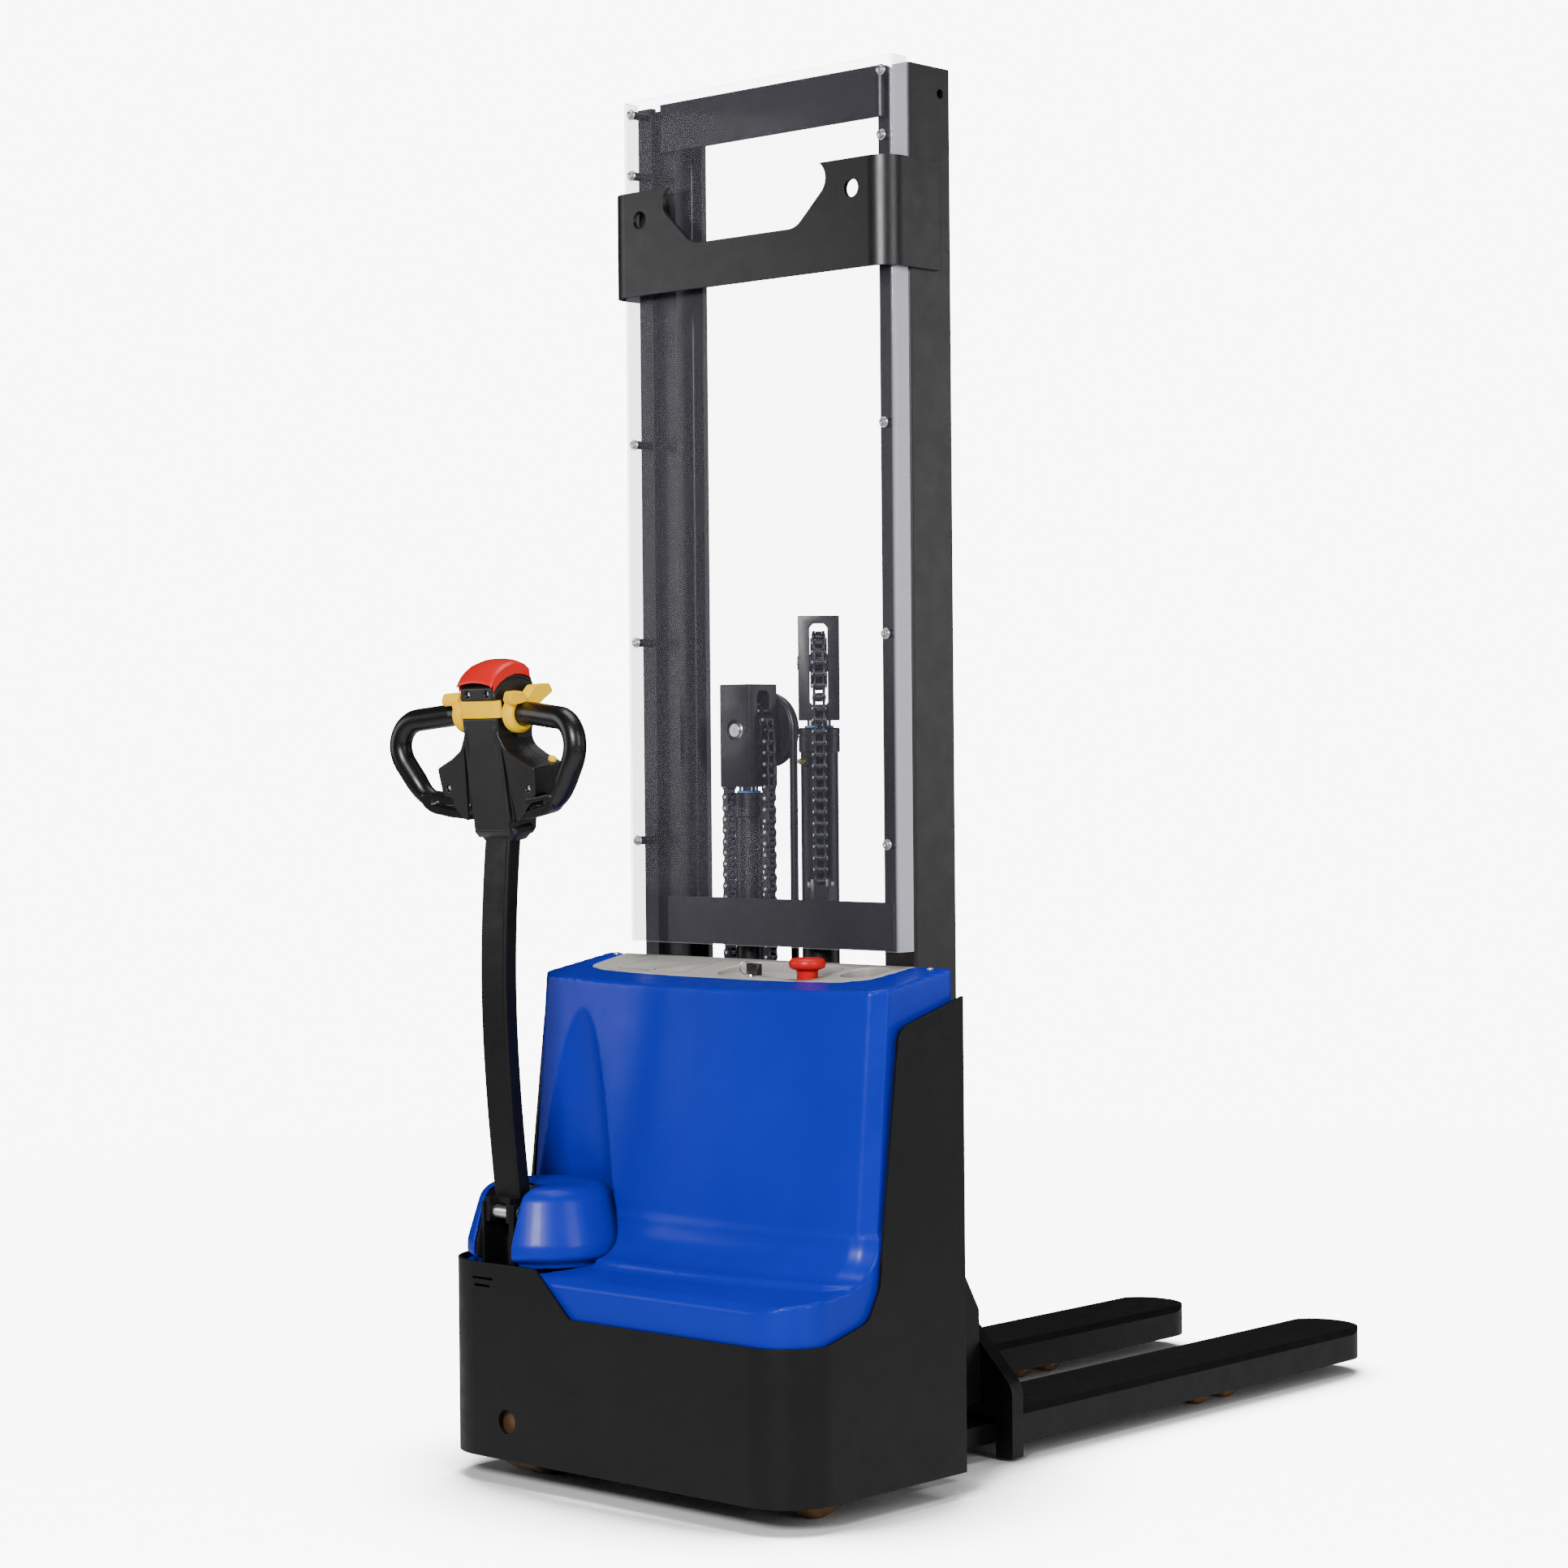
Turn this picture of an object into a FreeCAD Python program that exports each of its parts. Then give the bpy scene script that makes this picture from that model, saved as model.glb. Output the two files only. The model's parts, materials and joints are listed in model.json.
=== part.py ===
import FreeCAD, Part
import os
from math import pi, sin, tan
from types import SimpleNamespace

# Walkie stacker. Millimetres, +Z up, +X to the right, +Y towards the fork tips.
# Every piece is drawn in the truck's own axes: X = 0 on the centreline, Y = 0 on the
# rear face of the chassis, Z = 0 on the floor. at() then moves it into the part's frame,
# whose origin lies on the floor under the centre of the whole machine's box.

DIMENSIONS = {
    # chassis
    "chassis_width": 800,
    "chassis_depth": 413,
    "chassis_corner": 92,
    "skirt_thick": 6,
    "skirt_bottom": 42,
    "skirt_top": 802,
    # moulded cover
    "cover_width": 770,
    "cover_front": 404,
    "cover_bottom": 296,
    "cover_wall": 4,
    "dash_depth": 34,
    # mast
    "mast_width": 613,
    "mast_rear": 407,
    "mast_depth": 105,
    "mast_top": 2300,
    "mast_flange": 34,
    "mast_web": 8,
    "flange_thick": 12,
    "inner_half": 290,
    "inner_flange": 60,
    "inner_gap": 2,
    "inner_top": 2296,
    "inner_bottom": 90,
    "plate_thick": 8,
    "window_rear": 369,
    "window_thick": 4,
    "window_bottom": 870,
    "window_top": 2308,
    # steering and tiller
    "steer_x": -262,
    "steer_y": 126,
    "hood_radius": 133,
    "hood_wall": 4,
    "hood_bottom": 366,
    "hood_top": 500,
    "pin_y": 30,
    "pin_z": 443,
    "tube_wide": 59,
    "tube_deep": 29,
    "head_lean": 9.6,
    "head_overhang": 34,
    "loop_radius": 16.5,
    "loop_reach": 218,
    # wheels
    "drive_radius": 110,
    "drive_width": 72,
    "caster_x": 300,
    "caster_y": 130,
    "caster_radius": 50,
    "caster_width": 40,
    "caster_trail": 28,
    "roller_radius": 37,
    "roller_width": 50,
    "roller_front": 1378,
    "roller_rear": 1292,
    # lift
    "left_lift_x": -107,
    "left_lift_y": 461,
    "right_lift_x": 50,
    "right_lift_y": 466,
    "right_lift_turn": -48,
    "left_barrel_bottom": 144,
    "left_barrel_radius": 23.5,
    "left_barrel_top": 1124,
    "right_barrel_bottom": 250,
    "right_barrel_radius": 31.5,
    "right_barrel_top": 1233,
    "head_size": 69,
    "head_height": 174,
    "chain_pitch_radius": 46,
    "chain_wide": 24,
    "chain_deep": 15,
    "hose_pulley_radius": 63,
    "hose_radius": 7,
    # load carriage and forks
    "carriage_rear": 673,
    "carriage_thick": 29,
    "fork_tip": 1775,
    "fork_centre": 205,
    "fork_width": 160,
    "fork_top": 88,
    "fork_bottom": 30,
    "fork_wall": 8,
    "leg_width": 70,
    "leg_bottom": 27,
    "leg_top": 60,
}

doc = FreeCAD.newDocument("walkie_stacker")
sheet = doc.addObject("Spreadsheet::Sheet", "dims")
for row, (alias, number) in enumerate(DIMENSIONS.items(), start=1):
    sheet.set(f"A{row}", alias.replace("_", " "))
    sheet.set(f"B{row}", str(number))
    sheet.setAlias(f"B{row}", alias)
doc.recompute()
d = SimpleNamespace(**{alias: float(sheet.get(alias)) for alias in DIMENSIONS})

chassis_half = d.chassis_width / 2
cover_half = d.cover_width / 2
mast_half = d.mast_width / 2
mast_front = d.mast_rear + d.mast_depth
handle_edge = d.steer_x - d.loop_reach - d.loop_radius
ORIGIN = FreeCAD.Vector((handle_edge + chassis_half) / 2, (d.fork_tip - d.head_overhang) / 2, 0)

XY, XZ, YZ = "XY_Plane", "XZ_Plane", "YZ_Plane"
nodes = {}


def at(x, y, z):
    """A point of the truck, in the part's frame."""
    return FreeCAD.Vector(x, y, z) - ORIGIN


def node(label, item):
    """Register a finished document object as one sub-part."""
    item.Label = label
    nodes[label] = item
    return item


# ---------------------------------------------------------------- drawing helpers


def edges_of(outline):
    """Lines and corner arcs of a closed outline of (u, v) or (u, v, corner radius)."""
    count = len(outline)
    starts, ends, arcs = [], [], []
    for i, corner in enumerate(outline):
        p = FreeCAD.Vector(corner[0], corner[1], 0)
        radius = corner[2] if len(corner) > 2 else 0
        before = outline[i - 1]
        after = outline[(i + 1) % count]
        a = (FreeCAD.Vector(before[0], before[1], 0) - p).normalize()
        b = (FreeCAD.Vector(after[0], after[1], 0) - p).normalize()
        if radius == 0:
            ends.append(p)
            starts.append(p)
            arcs.append(None)
            continue
        half = a.getAngle(b) / 2
        reach = radius / tan(half)
        middle = p + (a + b).normalize() * (radius / sin(half) - radius)
        ends.append(p + a * reach)
        starts.append(p + b * reach)
        arcs.append(Part.Arc(p + a * reach, middle, p + b * reach))
    edges = []
    for i in range(count):
        if arcs[i]:
            edges.append(arcs[i])
        edges.append(Part.LineSegment(starts[i], ends[(i + 1) % count]))
    return edges


def face_of(outline):
    """Flat face in the XY plane inside an outline."""
    return Part.Face(Part.Wire([edge.toShape() for edge in edges_of(outline)]))


def pad(label, plane, outline, length, start=0.0, holes=()):
    """Body with one sketch padded along +Z, +Y or +X from start; holes are (u, v, radius)."""
    body = doc.addObject("PartDesign::Body", label + "_body")
    sketch = body.newObject("Sketcher::SketchObject", label + "_sketch")
    origin_plane = [o for o in body.Origin.OriginFeatures if o.Role == plane][0]
    sketch.AttachmentSupport = (origin_plane, [""])
    sketch.MapMode = "FlatFace"
    for edge in edges_of(outline):
        sketch.addGeometry(edge, False)
    for u, v, radius in holes:
        centre = FreeCAD.Vector(u, v, 0)
        sketch.addGeometry(Part.Circle(centre, FreeCAD.Vector(0, 0, 1), radius), False)
    feature = body.newObject("PartDesign::Pad", label + "_pad")
    feature.Profile = sketch
    feature.setExpression("Length", str(length))
    feature.Reversed = plane == XZ
    offset = {XY: (0, 0, start), XZ: (0, start, 0), YZ: (start, 0, 0)}[plane]
    body.Placement.Base = at(*offset)
    return body


def block(label, corner, size):
    """Box from its lowest corner; each size is a number or an expression."""
    box = doc.addObject("Part::Box", label)
    for name, value in zip(("Length", "Width", "Height"), size):
        box.setExpression(name, str(value))
    box.Placement.Base = at(*corner)
    return box


def drum(label, base, radius, length, axis="Z"):
    """Cylinder from the centre of one end along +X, +Y or +Z."""
    cylinder = doc.addObject("Part::Cylinder", label)
    cylinder.setExpression("Radius", str(radius))
    cylinder.setExpression("Height", str(length))
    along = {"X": (1, 0, 0), "Y": (0, 1, 0), "Z": (0, 0, 1)}[axis]
    turn = FreeCAD.Rotation(FreeCAD.Vector(0, 0, 1), FreeCAD.Vector(*along))
    cylinder.Placement = FreeCAD.Placement(at(*base), turn)
    return cylinder


def fuse(label, *pieces):
    """One object out of several."""
    joined = doc.addObject("Part::MultiFuse", label)
    joined.Shapes = list(pieces)
    return joined


def cut(label, base, *tools):
    """A piece with others taken away from it."""
    result = doc.addObject("Part::Cut", label)
    result.Base = base
    result.Tool = tools[0] if len(tools) == 1 else fuse(label + "_tools", *tools)
    return result


def common(label, first, second):
    """What two pieces share."""
    result = doc.addObject("Part::Common", label)
    result.Base = first
    result.Tool = second
    return result


def shaped(label, shape, turn=None, pivot=None):
    """Piece drawn with Part's own functions in truck axes, optionally turned about a point."""
    item = doc.addObject("Part::Feature", label)
    place = shape.Placement
    if turn is not None:
        place = FreeCAD.Placement(FreeCAD.Vector(), turn, FreeCAD.Vector(*pivot)).multiply(place)
    item.Shape = shape
    item.Placement = FreeCAD.Placement(at(0, 0, 0), FreeCAD.Rotation()).multiply(place)
    return item


def group(label, shapes):
    """Several identical separate solids as one object."""
    return shaped(label, Part.makeCompound(shapes))


def cylinder_shape(base, radius, length, axis=(0, 0, 1)):
    return Part.makeCylinder(radius, length, FreeCAD.Vector(*base), FreeCAD.Vector(*axis))


def box_shape(corner, size):
    return Part.makeBox(*size, FreeCAD.Vector(*corner))


def prism_shape(outline, height, bottom=0.0, lean=0.0):
    """Outline in the XY plane pushed up from bottom, moving lean mm in Y per mm of height."""
    face = face_of(outline)
    face.translate(FreeCAD.Vector(0, 0, bottom))
    return face.extrude(FreeCAD.Vector(0, lean * height, height))


def side_shape(outline, low_x, high_x):
    """Outline of (y, z) pushed from low_x to high_x."""
    face = face_of(outline)
    face.rotate(FreeCAD.Vector(), FreeCAD.Vector(1, 1, 1), 120)
    face.translate(FreeCAD.Vector(low_x, 0, 0))
    return face.extrude(FreeCAD.Vector(high_x - low_x, 0, 0))


# ---------------------------------------------------------------- chassis


def chassis_skirt():
    """Bent black plate round the rear and both sides, with a stepped top edge."""
    inner = chassis_half - d.skirt_thick
    far = d.chassis_depth
    corner = d.chassis_corner
    outer_plan = [(-chassis_half, 0, corner), (chassis_half, 0, corner),
                  (chassis_half, far), (-chassis_half, far)]
    inner_corner = corner - d.skirt_thick
    inner_plan = [(-inner, d.skirt_thick, inner_corner), (inner, d.skirt_thick, inner_corner),
                  (inner, far + 1), (-inner, far + 1)]
    tall = "dims.skirt_top - dims.skirt_bottom"
    ring = cut("skirt_ring", pad("skirt_outer", XY, outer_plan, tall, d.skirt_bottom),
               pad("skirt_inner", XY, inner_plan, tall, d.skirt_bottom))
    low, high = d.skirt_bottom, d.skirt_top
    rear_top, left_top = 287, 361
    side_profile = [(-10, low), (far, low), (far, high), (319, 777, 60), (257, 760, 30),
                    (206, 358, 12), (180, 312, 40), (82, rear_top, 40), (-10, rear_top)]
    rear_profile = [(-chassis_half - 5, low), (-60, low), (-60, rear_top), (-83, rear_top, 12),
                    (-163, left_top, 20), (-chassis_half - 5, left_top)]
    kept = fuse("skirt_kept",
                pad("skirt_side", YZ, side_profile, "dims.chassis_width + 10", -chassis_half - 5),
                pad("skirt_rear", XZ, rear_profile, 220, -10))
    edged = common("skirt_edged", ring, kept)
    slots = [block(f"skirt_slot_{i}", (x, -5, z), (length, 20, 4.5))
             for i, (x, z, length) in enumerate(((-309, 332.5, 49), (-305, 320.5, 37)))]
    plug_hole = drum("skirt_hole", (-230, -5, 105), 20, 20, "Y")
    node("chassis_skirt", cut("skirt_cut", edged, plug_hole, *slots))


def chassis_frame():
    """Welded frame: bulkhead, floor, drive plate and the cross members that carry mast and legs."""
    inner = chassis_half - d.skirt_thick
    rear, front, thick = d.mast_rear, mast_front, 8
    channel_gap = mast_half - d.mast_flange
    bulkhead = box_shape((-inner, rear - 3, 60), (2 * inner, 3, 735))
    floor = box_shape((-118, 216, 60), (inner + 118, rear - 216, thick))
    shelf = box_shape((-118, 222, 288), (380 + 118, rear - 222, 3))
    caster_top = 2 * d.caster_radius + 32
    caster_plate = prism_shape([(190, 40), (inner, 40, 78), (inner, 224), (190, 224)], 10, caster_top)
    caster_web = box_shape((190, 216, 60), (inner - 190, thick, caster_top - 50))
    drive_plate = prism_shape([(-inner, 40, 60), (-118, 30), (-118, rear), (-inner, rear)], 12, 272)
    drive_plate = drive_plate.cut(cylinder_shape((d.steer_x, d.steer_y, 260), 84, 40))
    drive_web = box_shape((-118, 30, 60), (thick, rear - 30, 224))
    side_gusset = box_shape((-inner, 262, 60), (thick, rear - 262, 220))
    lower_cross = box_shape((-channel_gap, rear, 60), (2 * channel_gap, 12, 60))
    lower_beam = box_shape((-channel_gap, front - 12, 72), (2 * channel_gap, 12, 60))
    foot = box_shape((-178, rear, d.left_barrel_bottom - 24), (114, front + 6 - rear, 24))
    ties = [box_shape((x, rear, 72), (16, d.mast_depth, 60)) for x in (-150, -80, 60, 130)]
    leg_saddles = [box_shape((side * d.fork_centre - 20, rear, d.leg_top), (40, 40, 60))
                   for side in (-1, 1)]
    parts = [bulkhead, floor, shelf, caster_plate, caster_web, drive_plate, drive_web, side_gusset,
             lower_cross, lower_beam, foot] + ties + leg_saddles
    whole = parts[0].multiFuse(parts[1:]).removeSplitter()
    node("chassis_frame", shaped("frame_weldment", whole))


# ---------------------------------------------------------------- moulded cover and dash

TOP_FRONT = 848
TOP_SLOPE = 0.162
PANEL_LEAN = 0.085


def top_plane(y):
    """Height of the cover's sloping top."""
    return TOP_FRONT - TOP_SLOPE * (408 - y)


def bowed_plan(half, rear, bow, chamfer, front):
    """Plan outline with a rear edge that bows out, cut corners and straight sides."""
    points = [(-half, rear + chamfer), (-half + chamfer, rear)]
    left, right = FreeCAD.Vector(points[1][0], rear, 0), FreeCAD.Vector(half - chamfer, rear, 0)
    arc = Part.Arc(left, FreeCAD.Vector(0, rear - bow, 0), right).toShape()
    rest = [right, FreeCAD.Vector(half, rear + chamfer, 0), FreeCAD.Vector(half, front, 0),
            FreeCAD.Vector(-half, front, 0), FreeCAD.Vector(-half, rear + chamfer, 0), left]
    lines = [Part.LineSegment(a, b).toShape() for a, b in zip(rest, rest[1:])]
    return Part.Face(Part.Wire([arc] + lines))


def cover_volume(inset):
    """Outside of the cover, or with an inset the space inside its wall."""
    half = cover_half - inset
    bottom, front = d.cover_bottom, d.cover_front
    base = bowed_plan(half, 182 + inset, 34, 22, 520)
    base.translate(FreeCAD.Vector(0, 0, bottom))
    rise = 620
    upper = base.extrude(FreeCAD.Vector(0, PANEL_LEAN * rise, rise))
    side = [(0, bottom), (front, bottom), (front, top_plane(front) - inset),
            (100, top_plane(100) - inset), (0, top_plane(100) - inset)]
    upper = upper.common(side_shape(side, -half - 1, half + 1))
    step_plan = [(-half, 7 + inset, 84), (half, 7 + inset, 84), (half, front), (-half, front)]
    step = prism_shape(step_plan, 100, bottom)
    step_side = [(0, bottom), (front, bottom), (front, 392 - inset), (230, 388 - inset),
                 (150, 372 - inset, 60), (24, 350 - inset, 12), (2 + inset, 336 - inset), (0, 300)]
    step = step.common(side_shape(step_side, -half - 1, half + 1))
    return upper.fuse(step)


def turned_shape(profile, x, y):
    """Outline of (radius, z) spun about an upright axis."""
    face = face_of(profile)
    face.rotate(FreeCAD.Vector(), FreeCAD.Vector(1, 0, 0), 90)
    face.translate(FreeCAD.Vector(x, y, 0))
    return face.revolve(FreeCAD.Vector(x, y, 0), FreeCAD.Vector(0, 0, 1), 360)


def scoop(wall):
    """Space that the tiller hood turns in, narrowing upwards to nothing."""
    radius = d.hood_radius + 8 + wall
    column, narrow = 122 + wall, 76 + wall
    seat, shoulder, top = d.hood_bottom - 6 - wall, d.hood_bottom + 116, 770
    profile = [(0, 240 - wall), (column, 240 - wall), (column, seat), (radius, seat),
               (radius, shoulder), (narrow, top), (0, top)]
    return turned_shape(profile, d.steer_x, d.steer_y)


def rear_cover():
    """Hollow moulding: platform over the bumper, bowed rear panel, sides and sloping top."""
    outside = cover_volume(0).cut(scoop(0))
    inside = cover_volume(d.cover_wall).cut(scoop(d.cover_wall))
    shell = outside.cut(inside)
    window = prism_shape(dash_outline(0), 120, 760)
    shell = shell.cut(window)
    largest = max(shell.Solids, key=lambda solid: solid.Volume)
    node("rear_cover", shaped("cover_shell", largest))


def dash_outline(inset):
    """Outline of the instrument panel let into the cover's top."""
    rear, front = 264 + inset, d.cover_front + 1
    return [(-345 + inset, front), (-330 + inset, 290 + inset, 40), (-250, rear, 60),
            (190, rear, 60), (296 - inset, 300 + inset, 40), (310 - inset, front)]


def dash_panel():
    """Grey panel with a lid opening, a switch bowl and an oval cup."""
    tall = d.dash_depth
    outline = dash_outline(0.5)
    slab = prism_shape(outline, 120, 760)
    front = d.cover_front
    band = [(240, top_plane(240) - tall), (front, top_plane(front) - tall),
            (front, top_plane(front) - 2), (240, top_plane(240) - 2)]
    slab = slab.common(side_shape(band, -360, 330))
    bowl = prism_shape([(-40, 286, 40), (192, 286, 40), (192, 384, 40), (-40, 384, 40)], 90, 814)
    cup = prism_shape([(210, 312, 32), (284, 312, 32), (284, 386, 32), (210, 386, 32)], 90, 812)
    tray = box_shape((-274, 286, 812), (174, 100, 90))
    slab = slab.cut([bowl, cup, tray])
    slab = slab.cut([cylinder_shape((26, 320, 790), 9.05, 60), cylinder_shape((168, 300, 780), 17.6, 60)])
    node("dash_panel", shaped("dash_moulding", slab))


def dash_lid():
    """Flat lid over the tray, hinged along its front edge."""
    low_y, high_y = 287, 385
    profile = [(low_y, top_plane(low_y) - 5), (high_y, top_plane(high_y) - 5),
               (high_y, top_plane(high_y) - 1.5), (low_y, top_plane(low_y) - 1.5)]
    lid = side_shape(profile, -273, -101)
    latch = side_shape([(low_y + 2, 818), (low_y + 8, 818), (low_y + 8, 827), (low_y + 2, 827)],
                       -200, -174)
    node("dash_lid", shaped("lid_plate", lid.fuse(latch)))


def switches():
    """Ignition key with its barrel, and the emergency stop button on its stem."""
    barrel = cylinder_shape((26, 320, 796), 9, 32)
    bow = box_shape((14, 318.5, 826), (24, 3, 22))
    node("ignition_key", shaped("key_shape", barrel.fuse(bow)))
    x, y = 168, 300
    stem = cylinder_shape((x, y, 790), 17.5, 52)
    cap = cylinder_shape((x, y, 842), 29, 18)
    cap = cap.makeFillet(7, [edge for edge in cap.Edges if abs(edge.Length - 2 * pi * 29) < 1])
    node("emergency_stop", shaped("stop_shape", stem.fuse(cap)))


# ---------------------------------------------------------------- mast


def channel_outline(side):
    """C section of the outer mast, open towards the centre."""
    outer, web, inner = mast_half, mast_half - d.mast_web, mast_half - d.mast_flange
    rear, front, flange = d.mast_rear, mast_front, d.flange_thick
    points = [(outer, rear, 5), (outer, front, 5), (inner, front), (inner, front - flange),
              (web, front - flange, 4), (web, rear + flange, 4), (inner, rear + flange), (inner, rear)]
    return [(side * p[0], *p[1:]) for p in points]


def inner_outline(side):
    """I section of the inner mast, its outer half nested in the outer channel."""
    outer, inner = d.inner_half, d.inner_half - d.inner_flange
    rear = d.mast_rear + d.flange_thick + d.inner_gap
    front = mast_front - d.flange_thick - d.inner_gap
    flange = 11
    web_out, web_in = (outer + inner) / 2 + 5, (outer + inner) / 2 - 5
    points = [(outer, rear), (outer, rear + flange), (web_out, rear + flange, 4),
              (web_out, front - flange, 4), (outer, front - flange), (outer, front),
              (inner, front), (inner, front - flange), (web_in, front - flange, 4),
              (web_in, rear + flange, 4), (inner, rear + flange), (inner, rear)]
    return [(side * p[0], *p[1:]) for p in points]


def masts():
    """Outer channels with their sight holes, and the nested inner channels."""
    outer = [prism_shape(channel_outline(side), d.mast_top - 30, 30) for side in (-1, 1)]
    hole = cylinder_shape((-mast_half - 5, mast_front - 25, 2258), 8, d.mast_width + 10, (1, 0, 0))
    node("outer_mast_channels", group("outer_channels", [c.cut(hole) for c in outer]))
    inner = [prism_shape(inner_outline(side), d.inner_top - d.inner_bottom, d.inner_bottom)
             for side in (-1, 1)]
    node("inner_mast_channels", group("inner_channels", inner))


def bent_plate(label, half, rear, low, high, wing, thick, corner):
    """Upright plate across the mast with both ends bent forwards."""
    plan = [(-half, rear, corner), (half, rear, corner), (half, wing), (half - thick, wing),
            (half - thick, rear + thick, corner - thick), (-half + thick, rear + thick, corner - thick),
            (-half + thick, wing), (-half, wing)]
    return pad(label, XY, plan, high - low, low)


def mast_guard():
    """Thick plate wrapped round the rear of the mast, dipped in the middle."""
    low, peak, valley = 1970, 2146, 2046
    half = mast_half + d.plate_thick
    band = bent_plate("guard_band", half, 342, low, peak, 474, d.plate_thick, 40)
    dip = pad("guard_dip", XZ, [(-230, peak + 5, 30), (-118, valley, 40), (118, valley, 40),
                                (230, peak + 5, 30)], 40, 335)
    holes = [drum(f"guard_hole_{i}", (x, 335, 2098), 15, 30, "Y") for i, x in enumerate((-239, 239))]
    node("mast_guard", cut("guard_cut", band, dip, *holes))


def inner_crosses():
    """Cross plates that join the inner channels at the top and above the cover."""
    rear = d.mast_rear + d.flange_thick + d.inner_gap
    front = mast_front - d.flange_thick - d.inner_gap
    half = 254
    flange_edge = d.inner_half - d.inner_flange
    plate = bent_plate("top_cross_plate", half, rear - 18, 2220, 2302, rear, d.plate_thick, 12)
    tie = block("top_cross_tie", (-flange_edge, front - 14, 2250), (2 * flange_edge, 14, 46))
    spine = block("top_cross_spine", (-flange_edge, rear, 2296), (2 * flange_edge, front - rear, 6))
    node("inner_top_cross", fuse("top_cross", plate, tie, spine))
    plate = bent_plate("lower_cross_plate", half + 6, rear - 9, 868, 947, rear, d.plate_thick - 1, 8)
    anchor = block("chain_anchor_plate", (67, rear - 2, 930), (43, 20, 40))
    low_plate = block("base_cross_plate", (-flange_edge, front - 8, 150), (2 * flange_edge, 8, 90))
    seat_z = d.right_barrel_bottom - 25
    seat = block("base_cross_seat", (-20, 424, seat_z), (150, front - 424, 25))
    stub = block("base_cross_chain_stub", (-70, 448, 200), (18, front - 448, 25))
    elbow = block("base_cross_hose_elbow", (-56, front, 176), (16, 19, 24))
    node("inner_lower_cross", fuse("lower_cross", plate, anchor, low_plate, seat, stub, elbow))


WINDOW_FIXINGS = [(side, z) for side in (-1, 1) for z in (1043, 1382, 1721, 2181, 2285)]
FIXING_X = 282


def mast_window():
    """Clear guard bent round the rear of the mast, on spacers screwed to the outer channels."""
    rear, thick = d.window_rear, d.window_thick
    half = 305
    panel = bent_plate("window_panel", half, rear, d.window_bottom, d.window_top, 405, thick, 9)
    holes = [drum(f"window_hole_{i}", (side * FIXING_X, rear - 5, z), 4.3, 15, "Y")
             for i, (side, z) in enumerate(WINDOW_FIXINGS)]
    node("mast_window", cut("window_cut", panel, *holes))
    spacers, screws = [], []
    gap = d.mast_rear - rear - thick
    for side, z in WINDOW_FIXINGS:
        x = side * FIXING_X
        tube = cylinder_shape((x, rear + thick, z), 7, gap, (0, 1, 0))
        spacers.append(tube.cut(cylinder_shape((x, rear, z), 4.3, 60, (0, 1, 0))))
        washer = cylinder_shape((x, rear - 2, z), 9, 2, (0, 1, 0))
        cap = cylinder_shape((x, rear - 7, z), 6, 5, (0, 1, 0))
        shank = cylinder_shape((x, rear - 2, z), 4, gap + thick + 1.9, (0, 1, 0))
        screws.append(washer.fuse([cap, shank]))
    node("window_spacers", group("spacer_set", spacers))
    node("window_screws", group("screw_set", screws))


# ---------------------------------------------------------------- lift cylinders and chains


def lift_head(x, y, low, turn):
    """Forked block on the rod that carries the chain wheel; the wheel's axle lies along local Y."""
    size, tall = d.head_size, d.head_height
    body = box_shape((x - size / 2, y - size / 2, low), (size, size, tall))
    slot = box_shape((x - size, y - 15, low + 40), (2 * size, 30, tall - 52))
    wheel_z = low + 96
    bore = cylinder_shape((x, y - 60, wheel_z), 14.95, 120, (0, 1, 0))
    axle = cylinder_shape((x, y - size / 2 - 5, wheel_z), 14.95, size + 5, (0, 1, 0))
    block_solid = body.cut([slot, bore])
    turned = [block_solid, axle]
    for shape in turned:
        shape.rotate(FreeCAD.Vector(x, y, 0), FreeCAD.Vector(0, 0, 1), turn)
    return turned


def chain_wheel(x, y, z, turn):
    """Grooved roller that the leaf of the chain runs over."""
    radius = d.chain_pitch_radius - d.chain_deep / 2
    rim = radius + 4
    profile = [(15, -14), (rim, -14), (rim, -12.5), (radius, -12.5), (radius, 12.5), (rim, 12.5),
               (rim, 14), (15, 14)]
    wheel = face_of(profile).revolve(FreeCAD.Vector(), FreeCAD.Vector(0, 1, 0), 360)
    wheel.translate(FreeCAD.Vector(x, y, z))
    wheel.rotate(FreeCAD.Vector(x, y, 0), FreeCAD.Vector(0, 0, 1), turn)
    return wheel


def chain_leg(x, y, low, high, turn, side):
    """Straight run of chain beside a lift head."""
    wide, deep = d.chain_wide, d.chain_deep
    leg = box_shape((x + side * d.chain_pitch_radius - deep / 2, y - wide / 2, low),
                    (deep, wide, high - low))
    leg.rotate(FreeCAD.Vector(x, y, 0), FreeCAD.Vector(0, 0, 1), turn)
    return leg


def barrel(x, y, low, high, radius, rod_radius):
    """Cylinder tube with a closed foot and a gland at the top."""
    tube = cylinder_shape((x, y, low), radius, high - low)
    tube = tube.fuse(cylinder_shape((x, y, high - 40), radius + 3, 40))
    return tube.cut(cylinder_shape((x, y, low + 20), rod_radius + 0.05, high - low))


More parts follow.
